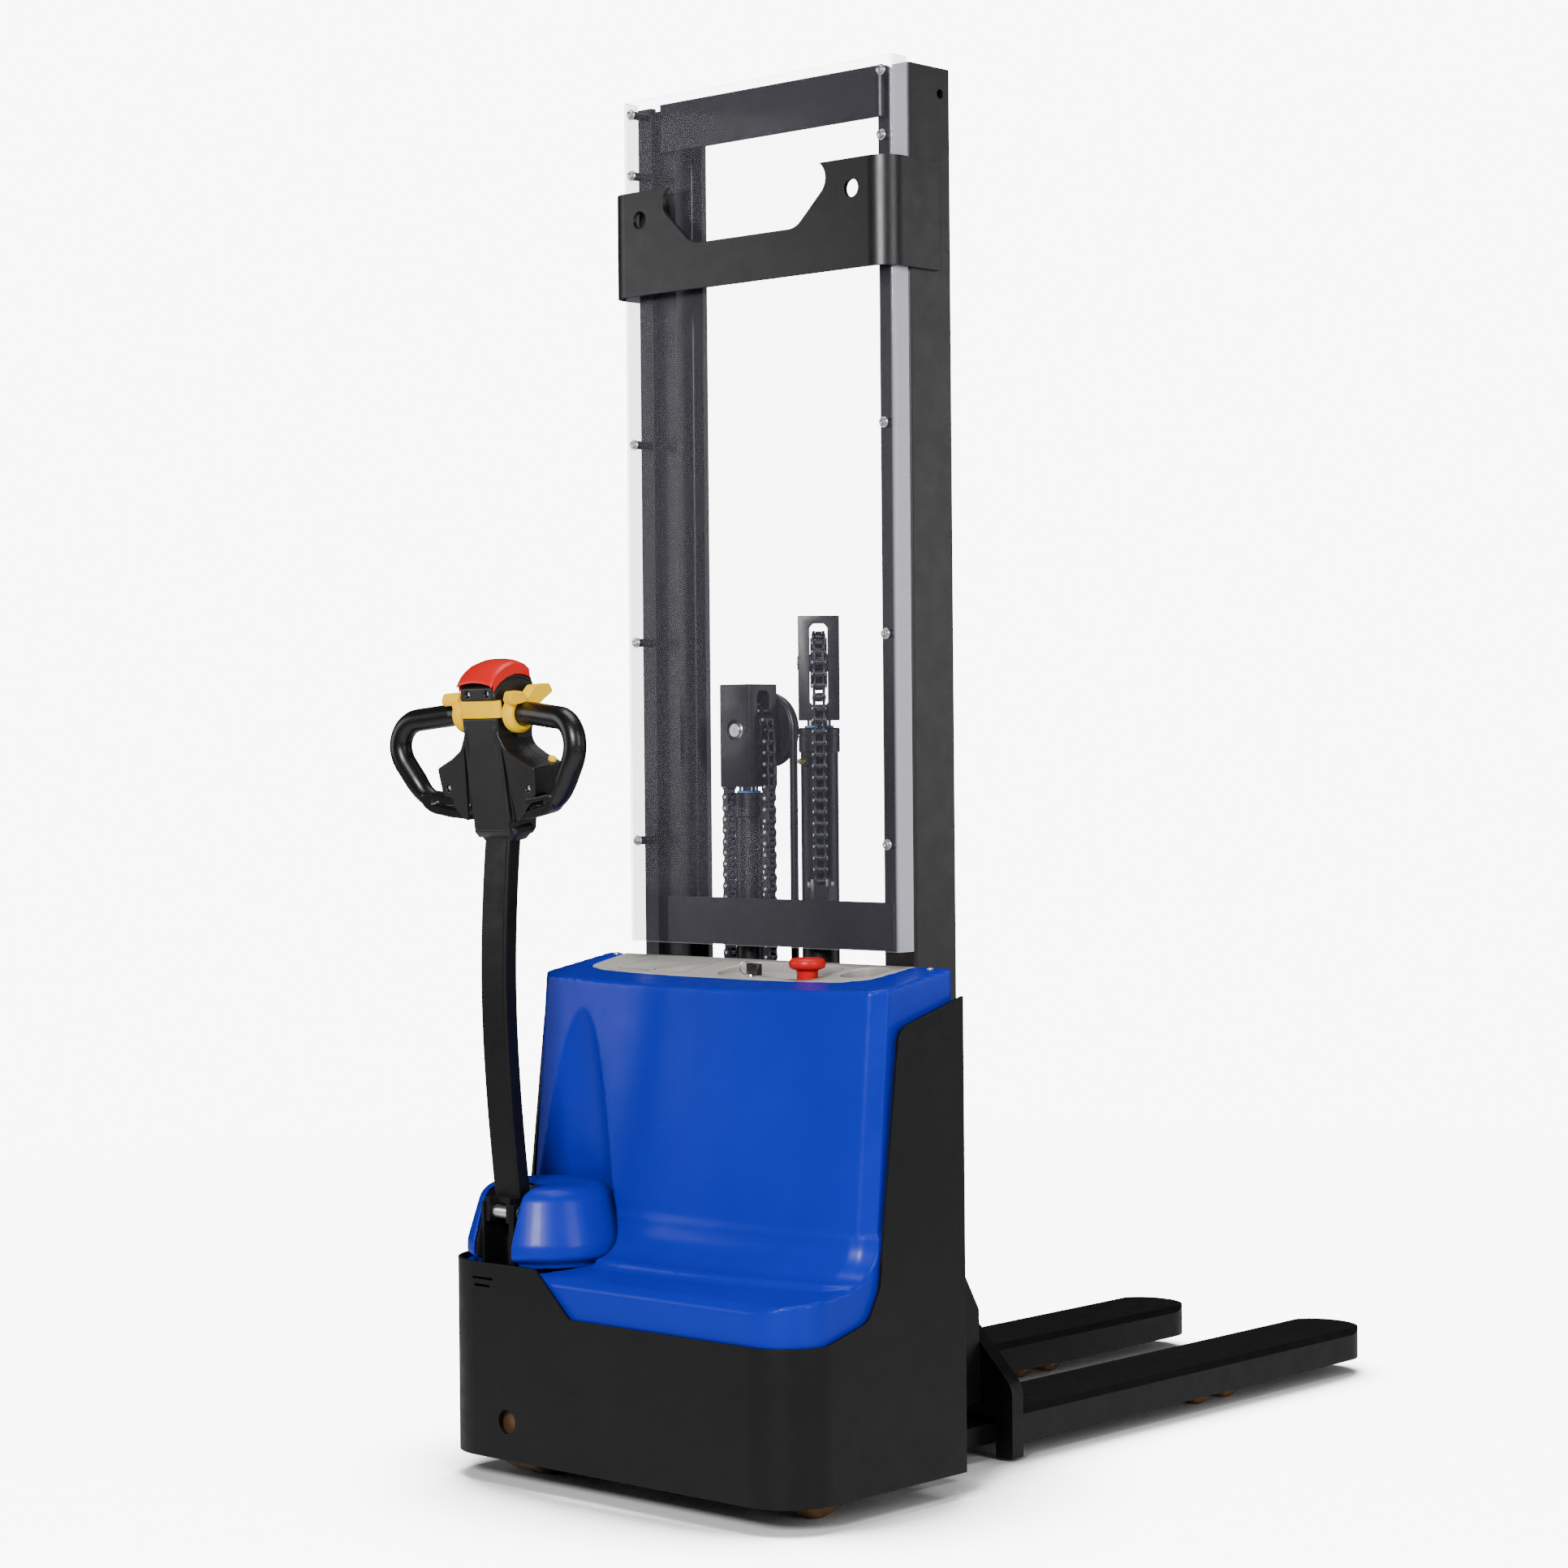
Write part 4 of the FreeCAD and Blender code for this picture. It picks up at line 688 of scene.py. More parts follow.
def grip_loops():
    """Soft black bars that sweep back round the hands into flat-sided lower arms with a slot."""
    sweep, root = 0.134, 79

    def loop(side):
        corners = mirrored([(45, 10, 196, 0), (92, 9.5, 196.5, 30), (213, -10, 187, 44), (207, -18, 130, 60),
                            (156, -17, 58, 60), (50, -3, 42, 0)], side)
        points = path_points(corners, 14)
        dense = []
        for a, b in zip(points, points[1:]):
            parts = max(1, round((b - a).length / 5))
            dense += [a.lerp(b, k / parts) for k in range(parts)]
        dense.append(points[-1])
        radii = [9.8 if abs(p.x) < 52 and p.z > 150 else min(18.8, max(15.5, p.z * 0.11 + 9)) for p in dense]
        grip = tube("grip_bar", dense, radii, 40)
        outline = mirrored([(56, 25), (100, 30, 40), (138, 38, 40), (160, 54, 20), (156, 73, 14),
                            (120, 67, 26), (56, 59)], side)
        arm = prism("lower_arm", rounded(outline), -23, 9, "Y")
        opening = mirrored([(74, 38.5, 5), (137, 52, 5.2), (135, 62.5, 5.2), (72, 49, 5)], side)
        slot = prism("slot", rounded(opening), -42, -13.5, "Y")
        for thing in (arm, slot):
            for vertex in thing.data.vertices:
                vertex.co.y -= sweep * (abs(vertex.co.x) - root)
        return carve(moulded(join("grip_half", [grip, arm]), 1.4, 5), slot)

    pair = smooth(placed(join("grip_loops", both_sides(loop)), HEAD))
    finish_piece(pair, "tiller", "grip_rubber", stands_for=["handle_grips"])
    places = ((-82, -13.7, 46), (82, -13.7, 46), (-129, -20, 56), (129, -20, 56))
    screws = [placed(screw_head(3.8, 2.4, 1.8), turn_to((0, -1, 0), place)) for place in places]
    finish_piece(placed(join("grip_screws", screws), HEAD), "tiller", "zinc")


def neck_collar():
    """Split collar that closes the casing onto the tube."""
    # height, half width, rear, front and corner radius
    levels = ((-12, 31.5, -15.5, 20, 6), (-11, 33.5, -16.5, 21.5, 7), (-4, 40, -18.5, 26, 9),
              (2, 45, -20.5, 29, 10), (9, 46, -21, 30, 10), (14, 42, -20, 28, 10))
    collar = loft("collar", [[(x, y, z) for x, y in rounded(oblong(-half, rear, half, front, corner))]
                             for z, half, rear, front, corner in levels])
    carve(collar, slab("split", (-0.7, -40, -20), (0.7, -10, 20)))
    for x in (-24, 24):
        carve(collar, slab("ledge", (x - 20, -40, -3.2), (x + 20, -18.6, -1.6)))
    eased(collar, 0.7, 2)
    finish_piece(placed(collar, HEAD), "tiller", "black_plastic", stands_for=["tiller_collar"])


def push_buttons():
    """Two soft-domed buttons on the front of the head, and the amber horn button on the wing."""
    profile = [(0, -6), (8.8, -6), (8.8, 8), (8.2, 10.4), (6.5, 12), (3, 12.8), (0, 13)]
    for key, x in zip(("lift", "lower"), BUTTON_X):
        where = HEAD @ turn_to((0, 1, 0), (x, 50, BUTTON_Z))
        button = turned(f"{key}_button_cap", profile, 40, 60, where)
        finish_piece(button, f"{key}_key", "yellow_plastic", stands_for=[f"{key}_button"])
    dome = [(0, -3), (7, -3), (7, 2.5), (6, 4), (3, 4.8), (0, 5)]
    horn = turned("horn_button", dome, 32, 60, HEAD @ turn_to((0.42, 0, 0.9), (94, 40, 116)))
    finish_piece(horn, "tiller", "yellow_plastic")


head_housing()
head_band()
belly_pad()
thumb_switches()
grip_loops()
neck_collar()
push_buttons()


# ---- cover, hood and dash

TRUCK = move(*at(0, 0, 0)) @ Matrix.Scale(MM, 4)
STEER = (-262, 126)
HOOD_SLIT = 44
COVER_HALF, COVER_LOW, COVER_FRONT = 385, 296, 404
COVER_FOOT = 276
COVER_LEAN = 0.085
TOP_Y, TOP_Z, TOP_SLOPE = 408, 848, 0.162
BOW_RADIUS, BOW_CENTRE = 1954.8, 2102.8
WALL = 4
DASH_FLOOR = 814
KEY, STOP = (26, 320), (168, 300)
PLATFORM = rounded([(0, COVER_FOOT), (COVER_FRONT, COVER_FOOT), (COVER_FRONT, 392), (230, 386),
                    (150, 365, 60), (24, 349, 14), (2, 336), (0, 290)])


def top_plane(y):
    """Height of the cover's sloping top."""
    return TOP_Z - TOP_SLOPE * (TOP_Y - y)


def rear_line(x, z):
    """Place of the bowed, leaning rear panel."""
    return BOW_CENTRE - (BOW_RADIUS ** 2 - x ** 2) ** 0.5 + COVER_LEAN * (z - COVER_LOW)


DASH = [(-350, 420), (-338, 302, 30)]
DASH += [(x, rear_line(x, 825) + 68) for x in range(-285, 256, 30)]
DASH += [(298, 304, 36), (312, 420)]


def cover_section(z):
    """Plan of the upper cover at one height."""
    lean = COVER_LEAN * (z - COVER_LOW)
    rear = [(-363 + 726 * k / 32, rear_line(-363 + 726 * k / 32, z), z) for k in range(33)]
    return rear + [(385, 204 + lean, z), (385, 560, z), (-385, 560, z), (-385, 204 + lean, z)]


def shell_of(thing, is_open):
    """Hollow skin of a solid, open where is_open(centre, normal) says so."""
    shape = bmesh.new()
    shape.from_mesh(thing.data)
    shape.normal_update()
    gone = [face for face in shape.faces if is_open(face.calc_center_median(), face.normal)]
    bmesh.ops.delete(shape, geom=gone, context="FACES")
    shape.to_mesh(thing.data)
    shape.free()
    wall = thing.modifiers.new("wall", "SOLIDIFY")
    wall.thickness = WALL
    wall.offset = -1
    return smooth(settle(thing), 50)


def rear_cover():
    """Moulded blue cover: platform, bowed rear panel with a soft foot, sloping top, scoop for the hood."""
    upper = loft("rear_cover_skin", [cover_section(COVER_FOOT), cover_section(916)])
    trim = [(0, COVER_FOOT), (COVER_FRONT, COVER_FOOT), (COVER_FRONT, top_plane(COVER_FRONT)),
            (100, top_plane(100)), (0, top_plane(100))]
    overlap(upper, prism("trim", trim, -400, 400, "X"))
    half = COVER_HALF + 6
    plan = rounded([(-half, 8, 84), (half, 8, 84), (half, COVER_FRONT), (-half, COVER_FRONT)], 14)
    step = overlap(prism("step", plan, COVER_FOOT, 396), prism("step_side", PLATFORM, -400, 400, "X"))
    foot = []
    for k in range(41):
        x = -390 + 780 * k / 40
        base = rear_line(min(abs(x), 363), 400) + max(0, abs(x) - 363)
        turns = [t * pi / 20 for t in range(11)]
        curve = [(x, base - 62 * (1 - sin(t)), 371 + 66 * (1 - cos(t))) for t in turns]
        foot.append([(x, base + 40, 340), (x, base - 62, 340), *curve, (x, base + 40, 437)])
    union(upper, step, loft("foot", foot))
    space = lathe("scoop", [(0, 240), (122, 240), (122, 360), (141, 360), (141, 392), (114, 490), (77, 780),
                            (0, 780)], 96)
    pocket = prism("pocket", rounded(DASH, 10), 787, 900)
    carve(upper, placed(space, move(*STEER, 0)), pocket)
    moulded(upper, 4.0, 4)

    def is_open(centre, normal):
        under_dash = 782 < centre.z < 795 and normal.z > 0.6 and centre.y > 262
        return centre.z < COVER_FOOT + 3 or centre.y > COVER_FRONT - 3 or under_dash

    shell_of(upper, is_open)
    finish_piece(placed(upper, TRUCK), "root", "cover_blue", stands_for=["rear_cover"])
    places = [(x, 389, top_plane(389) - 0.6) for x in (-357, 352)]
    screws = [placed(screw_head(5.5, 3, 2), turn_to((0, -0.16, 1), place)) for place in places]
    finish_piece(placed(join("cover_screws", screws), TRUCK), "root", "zinc")


def hood_dome(inset):
    """Solid of revolution of the tiller hood, in from its skin by inset."""
    edge = 133 - inset
    profile = rounded([(0, 353), (edge - 16, 353), (edge - 15, 361, 3), (edge, 371, 8), (edge - 1, 392, 22),
                       (edge - 28, 483 - inset, 36), (0, 487 - inset)])
    return placed(lathe("hood", profile, 96), move(*STEER, 0))


def steer_hood():
    """Blue hood that turns with the tiller, slit at the rear, with a black liner in the slit."""
    hood = hood_dome(0)
    hood.name = "steer_hood_skin"
    x = STEER[0]
    carve(hood, slab("slot", (x - HOOD_SLIT, -40, 340), (x + HOOD_SLIT, 86, 520)))
    moulded(hood, 2.2, 5)

    def is_open(centre, normal):
        slit = abs(centre.x - x) < HOOD_SLIT - 1.5 and centre.y < 90 and abs(normal.z) < 0.7
        side = abs(abs(centre.x - x) - HOOD_SLIT) < 1.2 and centre.y < 84 and abs(normal.x) > 0.8
        return centre.z < 356 or side or slit

    shell_of(hood, is_open)
    finish_piece(placed(hood, TRUCK), "steering", "cover_blue", stands_for=["steer_hood"])
    liner = slab("hood_liner", (x - HOOD_SLIT + 0.2, -20, 368), (x + HOOD_SLIT - 0.2, 88, 520))
    carve(liner, slab("inside", (x - HOOD_SLIT + 2.2, -40, 300), (x + HOOD_SLIT - 2.2, 86, 540)))
    overlap(liner, hood_dome(4.5))
    finish_piece(placed(eased(liner, 0.5, 2), TRUCK), "steering", "black_plastic")


def hinge_pin():
    """Zinc bush and black washers on the tiller's hinge pin."""
    where = TRUCK @ move(STEER[0], 30, 443) @ ALONG_X
    bush = lathe("tiller_pin_bush", [(0, -19.4), (10.4, -19.4), (11.4, -18.2), (11.4, 18.2), (10.4, 19.4),
                                     (0, 19.4)], 40)
    rod = lathe("rod", [(0, -40), (8.4, -40), (8.9, -39), (8.9, 39), (8.4, 40), (0, 40)], 32)
    pin = placed(smooth(join("tiller_pin_rod", [bush, rod]), 35), where)
    finish_piece(pin, "steering", "zinc", stands_for=["tiller_pin"])
    rings = []
    for low in (-43, 39.2):
        ring = [(9.2, low), (12, low), (13, low + 1), (13, low + 2.8), (12, low + 3.8), (9.2, low + 3.8)]
        rings.append(turned("washer", ring, 40, 35))
    finish_piece(placed(join("tiller_pin_washers", rings), where), "steering", "black_plastic")


def basin(name, low, high, corner, floor, flare):
    """Tool for a bowl: a rounded rectangle on the floor that opens out upwards."""
    sections = []
    for z, grow in ((floor, 0), (floor + 3, flare * 0.35), (floor + 12, flare), (floor + 60, flare * 1.6)):
        outline = oblong(low[0] - grow, low[1] - grow, high[0] + grow, high[1] + grow, corner + grow)
        sections.append([(x, y, z) for x, y in rounded(outline, 10)])
    return loft(name, sections)


def dash_panel():
    """Grey instrument moulding with a tray, a bowl for key and stop button, and a cup."""
    inside = [(p[0] * 0.9975, 405 if p[1] > 400 else p[1] + 1.2, *p[2:]) for p in DASH]
    panel = prism("dash_moulding", rounded(inside, 10), 760, 900)
    rear, front = top_plane(240), top_plane(COVER_FRONT)
    band = [(240, rear - 34), (COVER_FRONT, front - 34), (COVER_FRONT, front - 1), (240, rear - 1)]
    overlap(panel, prism("band", band, -400, 400, "X"))
    carve(panel, basin("bowl", (-32, 294), (184, 378), 32, DASH_FLOOR, 8),
          basin("cup", (216, 318), (278, 380), 27, DASH_FLOOR, 6),
          slab("tray", (-274, 286, 812), (-100, 386.5, 900)))
    for centre, radius in ((KEY, 9.4), (STOP, 18.4)):
        carve(panel, placed(cylinder("hole", radius, 760, 900), move(*centre, 0)))
    moulded(panel, 1.7, 3)
    finish_piece(placed(panel, TRUCK), "root", "dash_grey", stands_for=["dash_panel"])


def dash_lid():
    """Tray lid with a sunk frame line and a latch tab."""
    def plate(name, x0, y0, x1, y1, corner, low, high):
        return prism(name, rounded(oblong(x0, y0, x1, y1, corner)), low, high)

    lid = plate("dash_lid_plate", -273, 0, -101, 98.6, 6, 0, 3.6)
    line = plate("line", -264, 9, -110, 90, 5, 2.7, 5)
    carve(lid, carve(line, plate("core", -262, 11, -112, 88, 4, 2, 6)))
    union(lid, plate("tab", -201, 3, -173, 13, 3, 3, 6.4))
    eased(lid, 0.5, 2)
    slope = move(0, 287, top_plane(287) - 4.6) @ spun(atan2(TOP_SLOPE, 1), "X")
    finish_piece(placed(lid, TRUCK @ slope), "tray_lid", "dash_grey", stands_for=["dash_lid"])


def stop_button():
    """Mushroom stop button in its collar."""
    where = TRUCK @ move(*STOP, 0)
    profile = [(0, 790), (17.4, 790), (17.4, 838), (18.6, 841), (24, 842.6), (28, 844.6), (30, 848.6),
               (30, 853), (28.4, 857.6), (24.4, 860.2), (19, 861), (13, 860.2), (8, 858.8), (0, 858.4)]
    cap = turned("stop_mushroom", profile, 72, 60, where)
    finish_piece(cap, "stop_button", "red_plastic", stands_for=["emergency_stop"])
    ring = [(18.6, 812), (26, 812), (26, 817), (24, 819.4), (20, 819.6), (18.6, 818)]
    finish_piece(turned("stop_collar", ring, 56, 40, where), "root", "black_plastic")


def ignition_key():
    """Key barrel and nut, and the key with its ribbed fob and ring."""
    where = TRUCK @ move(*KEY, 0)
    barrel = turned("key_barrel", [(0, 796), (8.9, 796), (8.9, 826), (8.2, 828), (0, 828)], 40, 35, where)
    finish_piece(barrel, "key", "zinc", stands_for=["ignition_key"])
    nut = [(9.3, 812), (14.6, 812), (14.6, 819), (13.4, 820.4), (9.3, 820.4)]
    finish_piece(turned("key_nut", nut, 6, 20, where), "root", "zinc")
    fob = slab("key_fob", (-9, -4.5, 827), (28, 4.5, 846))
    for k in range(7):
        for y in (-4.5, 4.5):
            carve(fob, slab("rib", (4 + k * 3.2, y - 0.8, 829), (5.6 + k * 3.2, y + 0.8, 844)))
    eased(fob, 0.6, 2)
    finish_piece(placed(fob, where @ spun(radians(-18), "Z")), "key", "black_plastic")
    ring = [Vector((11 * cos(2 * pi * k / 32), 0, 11 * sin(2 * pi * k / 32))) for k in range(33)]
    loop = placed(tube("key_ring", ring, 1.1, 10), TRUCK @ move(14, 321, 838) @ spun(radians(50), "Z"))
    finish_piece(loop, "key", "zinc")


rear_cover()
steer_hood()
hinge_pin()
dash_panel()
dash_lid()
stop_button()
ignition_key()


# ---- lift: rams, heads, chains and hose

PITCH = 19.05
LEFT, LEFT_WHEEL = (-107, 461), 1230
RIGHT, RIGHT_WHEEL = (50, 466), 1341
RIGHT_TURN = radians(-48)
CHAIN_ARM = 46
HOSE_ARM, HOSE_Y = 59, 509.5


def chain(name, pins, axle):
    """Roller chain through a row of pin centres: the side plates and rollers, and the pins."""
    plates, studs = bmesh.new(), bmesh.new()
    axle = Vector(axle).normalized()
    plate_end, plate_waist, roller, stud = 7.6, 5.8, 6.9, 2.9
    outer_plate, inner_plate = (6.2, 10.6), (5.6, 8.2)

    def solid(shape, outline, near, far):
        rings = [[shape.verts.new(p + axle * reach) for p in outline] for reach in (near, far)]
        shape.faces.new(rings[0])
        shape.faces.new(rings[1])
        for i in range(len(outline)):
            j = (i + 1) % len(outline)
            shape.faces.new((rings[0][i], rings[0][j], rings[1][j], rings[1][i]))

    def disc(shape, centre, along, radius, reach, sides):
        across = along.cross(axle)
        ring = [centre + (along * cos(2 * pi * k / sides) + across * sin(2 * pi * k / sides)) * radius
                for k in range(sides)]
        solid(shape, ring, -reach, reach)

    for k, (a, b) in enumerate(zip(pins, pins[1:])):
        run = (b - a).normalized()
        deep = run.cross(axle)
        middle = a + run * ((b - a).length / 2)
        turns = [radians(-105 + 30 * n) for n in range(8)]
        outline = [b + run * plate_end * cos(t) + deep * plate_end * sin(t) for t in turns]
        outline.append(middle + deep * plate_waist)
        outline += [a - run * plate_end * cos(t) - deep * plate_end * sin(t) for t in turns]
        outline.append(middle - deep * plate_waist)
        near, far = inner_plate if k % 2 else outer_plate
        for side in (-1, 1):
            solid(plates, outline, side * near, side * far)
    for k, pin in enumerate(pins):
        along = (pins[min(k + 1, len(pins) - 1)] - pins[max(k - 1, 0)]).normalized()
        disc(plates, pin, along, roller, 5.4, 16)
        disc(studs, pin, along, stud, 11.9, 12)
    return smooth(mesh_object(name + "_links", plates), 35), smooth(mesh_object(name + "_pins", studs), 35)


def straight_pins(x, y, low, high):
    count = round((high - low) / PITCH)
    return [Vector((x, y, low + (high - low) * k / count)) for k in range(count + 1)]


def arc_pins(centre, across, radius):
    """Pins over a wheel, from one side to the other."""
    count = round(pi * radius / PITCH)
    turns = [pi * k / count for k in range(count + 1)]
    return [Vector(centre) + Vector(across) * (-radius * cos(t)) + Vector((0, 0, radius * sin(t)))
            for t in turns]


def chains():
    """Both lift chains: straight legs, and the runs over the wheels that ride on the rams."""
    (left_x, left_y), arm = LEFT, CHAIN_ARM
    axle = Vector((-sin(RIGHT_TURN), cos(RIGHT_TURN), 0))
    across = Vector((cos(RIGHT_TURN), sin(RIGHT_TURN), 0))
    near = Vector((*RIGHT, 0)) + across * arm
    far = Vector((*RIGHT, 0)) - across * arm
    # name, pin centres, axle, body that holds the low end, ram body, lift joint of a moving leg
    runs = [("chain_left_fixed", straight_pins(left_x - arm, left_y, 150, LEFT_WHEEL), (0, 1, 0),
             "root", "left_rod", None),
            ("chain_left_moving", straight_pins(left_x + arm, left_y, 231, LEFT_WHEEL), (0, 1, 0),
             "inner_mast", "left_rod", "inner_mast_lift"),
            ("chain_left_over", arc_pins((*LEFT, LEFT_WHEEL), (1, 0, 0), arm), (0, 1, 0),
             None, "left_rod", None),
            ("chain_right_fixed", straight_pins(near.x, near.y, 978, RIGHT_WHEEL), axle,
             "inner_mast", "right_rod", None),
            ("chain_right_moving", straight_pins(far.x, far.y, 426, RIGHT_WHEEL), axle,
             "carriage", "right_rod", "carriage_lift"),
            ("chain_right_over", arc_pins((*RIGHT, RIGHT_WHEEL), across, arm), axle,
             None, "right_rod", None)]
    for name, pins, pin_axle, holder, ram, folding in runs:
        for thing, look in zip(chain(name, pins, pin_axle), ("chain_steel", "chain_pin")):
            placed(thing, TRUCK)
            if holder is None:
                finish_piece(thing, ram, look)
                continue
            finish_piece(thing, holder if folding else None, look)
            if folding:
                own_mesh(thing)
            else:
                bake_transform(thing)
            if look == "chain_steel":
                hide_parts(name)


def hoses():
    """Hydraulic hose from the chassis over the pulley to the moving mast."""
    fixed_foot, moving_foot = 144, 200

    def leg(name, x, low):
        points = [Vector((x, HOSE_Y, low + (LEFT_WHEEL - low) * k / 40)) for k in range(41)]
        return placed(tube(name, points, 7, 28), TRUCK)

    fixed = leg("hose_leg_fixed", LEFT[0] - HOSE_ARM, fixed_foot)
    finish_piece(fixed, None, "hose_rubber", stands_for=["hose_fixed"])
    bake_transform(fixed)
    moving = leg("hose_leg_moving", LEFT[0] + HOSE_ARM, moving_foot)
    finish_piece(moving, "inner_mast", "hose_rubber", stands_for=["hose_moving"])
    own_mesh(moving)
    turns = [pi * k / 40 for k in range(41)]
    over = [Vector((LEFT[0] - HOSE_ARM * cos(t), HOSE_Y, LEFT_WHEEL + HOSE_ARM * sin(t))) for t in turns]
    finish_piece(placed(tube("hose_over", over, 7, 28), TRUCK), "left_rod", "hose_rubber")


def lift_head(name, place, low, angle, body):
    """Block with a chamfered window for the chain wheel, and the axle's bolt in a sunk ring."""
    half = 34.5
    block = eased(slab(name + "_block", (-half, -half, low), (half, half, low + 174)), 1.4, 3)
    window = [(-15, low + 30), (-9, low + 24), (9, low + 24), (15, low + 30), (15, low + 156), (9, low + 163),
              (-9, low + 163), (-15, low + 156)]
    carve(block, prism("window", window, -60, 60, "X"))
    axis = move(0, 0, low + 96) @ ALONG_Y
    carve(block, placed(cylinder("bore", 15.1, -60, 60), axis),
          placed(cylinder("sink", 18, -50, -30.5), axis))
    where = TRUCK @ move(*place, 0) @ spun(angle, "Z")
    finish_piece(placed(smooth(block, 30), where), body, "mast_black", stands_for=[name])
    reach = 66 if name.endswith("left") else 33
    bolt = [(0, -37), (3, -37), (4, -36), (10.5, -36), (12, -34.6), (12, -31), (14.9, -29), (14.9, reach),
            (0, reach)]
    finish_piece(turned(name + "_axle", bolt, 48, 30, where @ axis), body, "zinc")


def symmetric(half):
    """Profile of a wheel from its lower half."""
    return half + [(radius, -z) for radius, z in reversed(half)]


def sheave(name, place, height, angle, body):
    """Flanged chain wheel."""
    lower = [(15.2, -14), (21, -14), (21, -12.5), (34, -12.5), (35, -14), (41.6, -14), (42.4, -13.2),
             (42.4, -12.6), (38.4, -11)]
    where = TRUCK @ move(*place, height) @ spun(angle, "Z") @ ALONG_Y
    wheel = turned(name + "_round", symmetric(lower), 72, 30, where)
    finish_piece(wheel, body, "chain_steel", stands_for=[name])


def pulley():
    """Plastic hose pulley with a dished web and a deep round groove."""
    width = 22
    side = [(15.2, 0), (22, 0), (24, 2.5), (44, 3.5), (47, 0), (62, 0), (63, 0.8), (62.4, 2.6)]
    groove = [(59 - 7.4 * sin(pi * k / 12), 11 - 7.6 * cos(pi * k / 12)) for k in range(13)]
    profile = side + groove + [(radius, width - z) for radius, z in reversed(side)]
    where = TRUCK @ move(LEFT[0], LEFT[1] + 37.5, LEFT_WHEEL) @ ALONG_Y
    wheel = turned("hose_pulley_round", profile, 96, 32, where)
    finish_piece(wheel, "hose_sheave", "black_plastic", stands_for=["hose_pulley"])


def barrel(name, place, low, high, radius, rod, body):
    """Ram tube with a welded foot, a threaded gland and a wiper seal round the rod."""
    gland = radius + 3
    profile = [(0, low), (gland, low), (gland, low + 8), (radius + 1, low + 11), (radius, low + 12),
               (radius, high - 42), (radius + 1.2, high - 41), (gland, high - 40), (gland, high - 14),
               (radius + 2.2, high - 13), (radius + 2.2, high - 11.6), (gland, high - 10.8),
               (gland, high - 2), (radius + 1.4, high), (rod + 4.5, high), (rod + 4.5, high - 3),
               (rod + 0.4, high - 3), (rod + 0.4, low + 20), (0, low + 20)]
    where = TRUCK @ move(*place, 0)
    finish_piece(turned(name + "_tube", profile, 72, 30, where), body, "mast_black", stands_for=[name])
    ring = [(rod + 0.3, high - 3), (rod + 4.4, high - 3), (rod + 4.4, high + 2.4), (rod + 2.4, high + 3.6),
            (rod + 0.3, high + 3)]
    finish_piece(turned(name + "_wiper", ring, 56, 40, where), body, "seal_blue")


def ram_fitting():
    """Bleed boss with a brass nut on the right ram, and the clevis that holds the chain's end."""
    spot = TRUCK @ move(*RIGHT, 1177) @ spun(pi / 2, "X")
    boss = [(0, 26), (9.5, 26), (9.5, 38), (8, 40.5), (0, 40.5)]
    finish_piece(turned("ram_boss", boss, 32, 35, spot), "inner_mast", "black_plastic")
    nut = [(0, 40), (5.2, 40), (5.8, 41), (5.8, 46), (4.2, 48.4), (4.2, 51), (0, 51.4)]
    finish_piece(turned("ram_nut", nut, 12, 35, spot), "inner_mast", "brass")
    where = TRUCK @ move(*RIGHT, 0) @ spun(RIGHT_TURN, "Z") @ move(CHAIN_ARM, 0, 0)
    clevis = slab("clevis", (-7.5, -17, 934), (7.5, 17, 982))
    carve(clevis, slab("gap", (-20, -8, 962), (20, 8, 1000)))
    finish_piece(placed(eased(clevis, 1.2, 2), where), "inner_mast", "mast_black")
    bolt = [(0, -22), (5.4, -22), (5.4, -17), (3, -17), (3, 17), (5.8, 17), (5.8, 22), (0, 22)]
    finish_piece(turned("bolt", bolt, 6, 25, where @ move(0, 0, 972) @ ALONG_Y), "inner_mast", "zinc")


chains()
hoses()
lift_head("lift_head_left", LEFT, 1134, 0, "left_rod")
lift_head("lift_head_right", RIGHT, 1245, RIGHT_TURN, "right_rod")
sheave("chain_wheel_left", LEFT, LEFT_WHEEL, 0, "left_sheave")
sheave("chain_wheel_right", RIGHT, RIGHT_WHEEL, RIGHT_TURN, "right_sheave")
pulley()
barrel("lift_barrel_left", LEFT, 144, 1124, 23.5, 16, "root")
barrel("lift_barrel_right", RIGHT, 250, 1233, 31.5, 20, "inner_mast")
ram_fitting()


# ---- window fixings and wheels


def window_screws():
    """Button-head cap screws with washers, on black stand-offs."""
    profile = [(0, -2), (9, -2), (9, -0.4), (8.6, 0), (6.4, 0), (6.4, 3.6), (5.6, 4.9), (3.4, 5.2),
               (3.2, 2.6), (0, 2.6)]
    screws = []
    for side in (-1, 1):
        for z in (1043, 1382, 1721, 2181, 2285):
            head = lathe("head", profile, 32)
            screw = join("screw", [head, cylinder("shank", 4, -38, 1, 20)])
            screws.append(placed(screw, turn_to((0, -1, 0), (side * 282, 367, z))))
    finish_piece(placed(smooth(join("window_cap_screws", screws), 35), TRUCK), "root", "zinc",
                 stands_for=["window_screws"])


def wheel(name, node, place, radius, half, core, bore, look, body, hub_half=None):
    """Cast tyre with rounded shoulders, and its turned hub, on one axle along X."""
    where = TRUCK @ move(*place) @ ALONG_X
    tyre = [(core, -half + 1), (radius - 5, -half), (radius - 1.6, -half + 1.6), (radius, -half + 5)]
    finish_piece(turned(name, symmetric(tyre), 72, 40, where), body, look, stands_for=[node])
    face = hub_half or half
    hub = [(bore, -face + 3), (core - 4, -face + 3), (core - 3, -face), (core, -face)]
    finish_piece(turned(name + "_hub", symmetric(hub), 48, 30, where), body, "zinc")


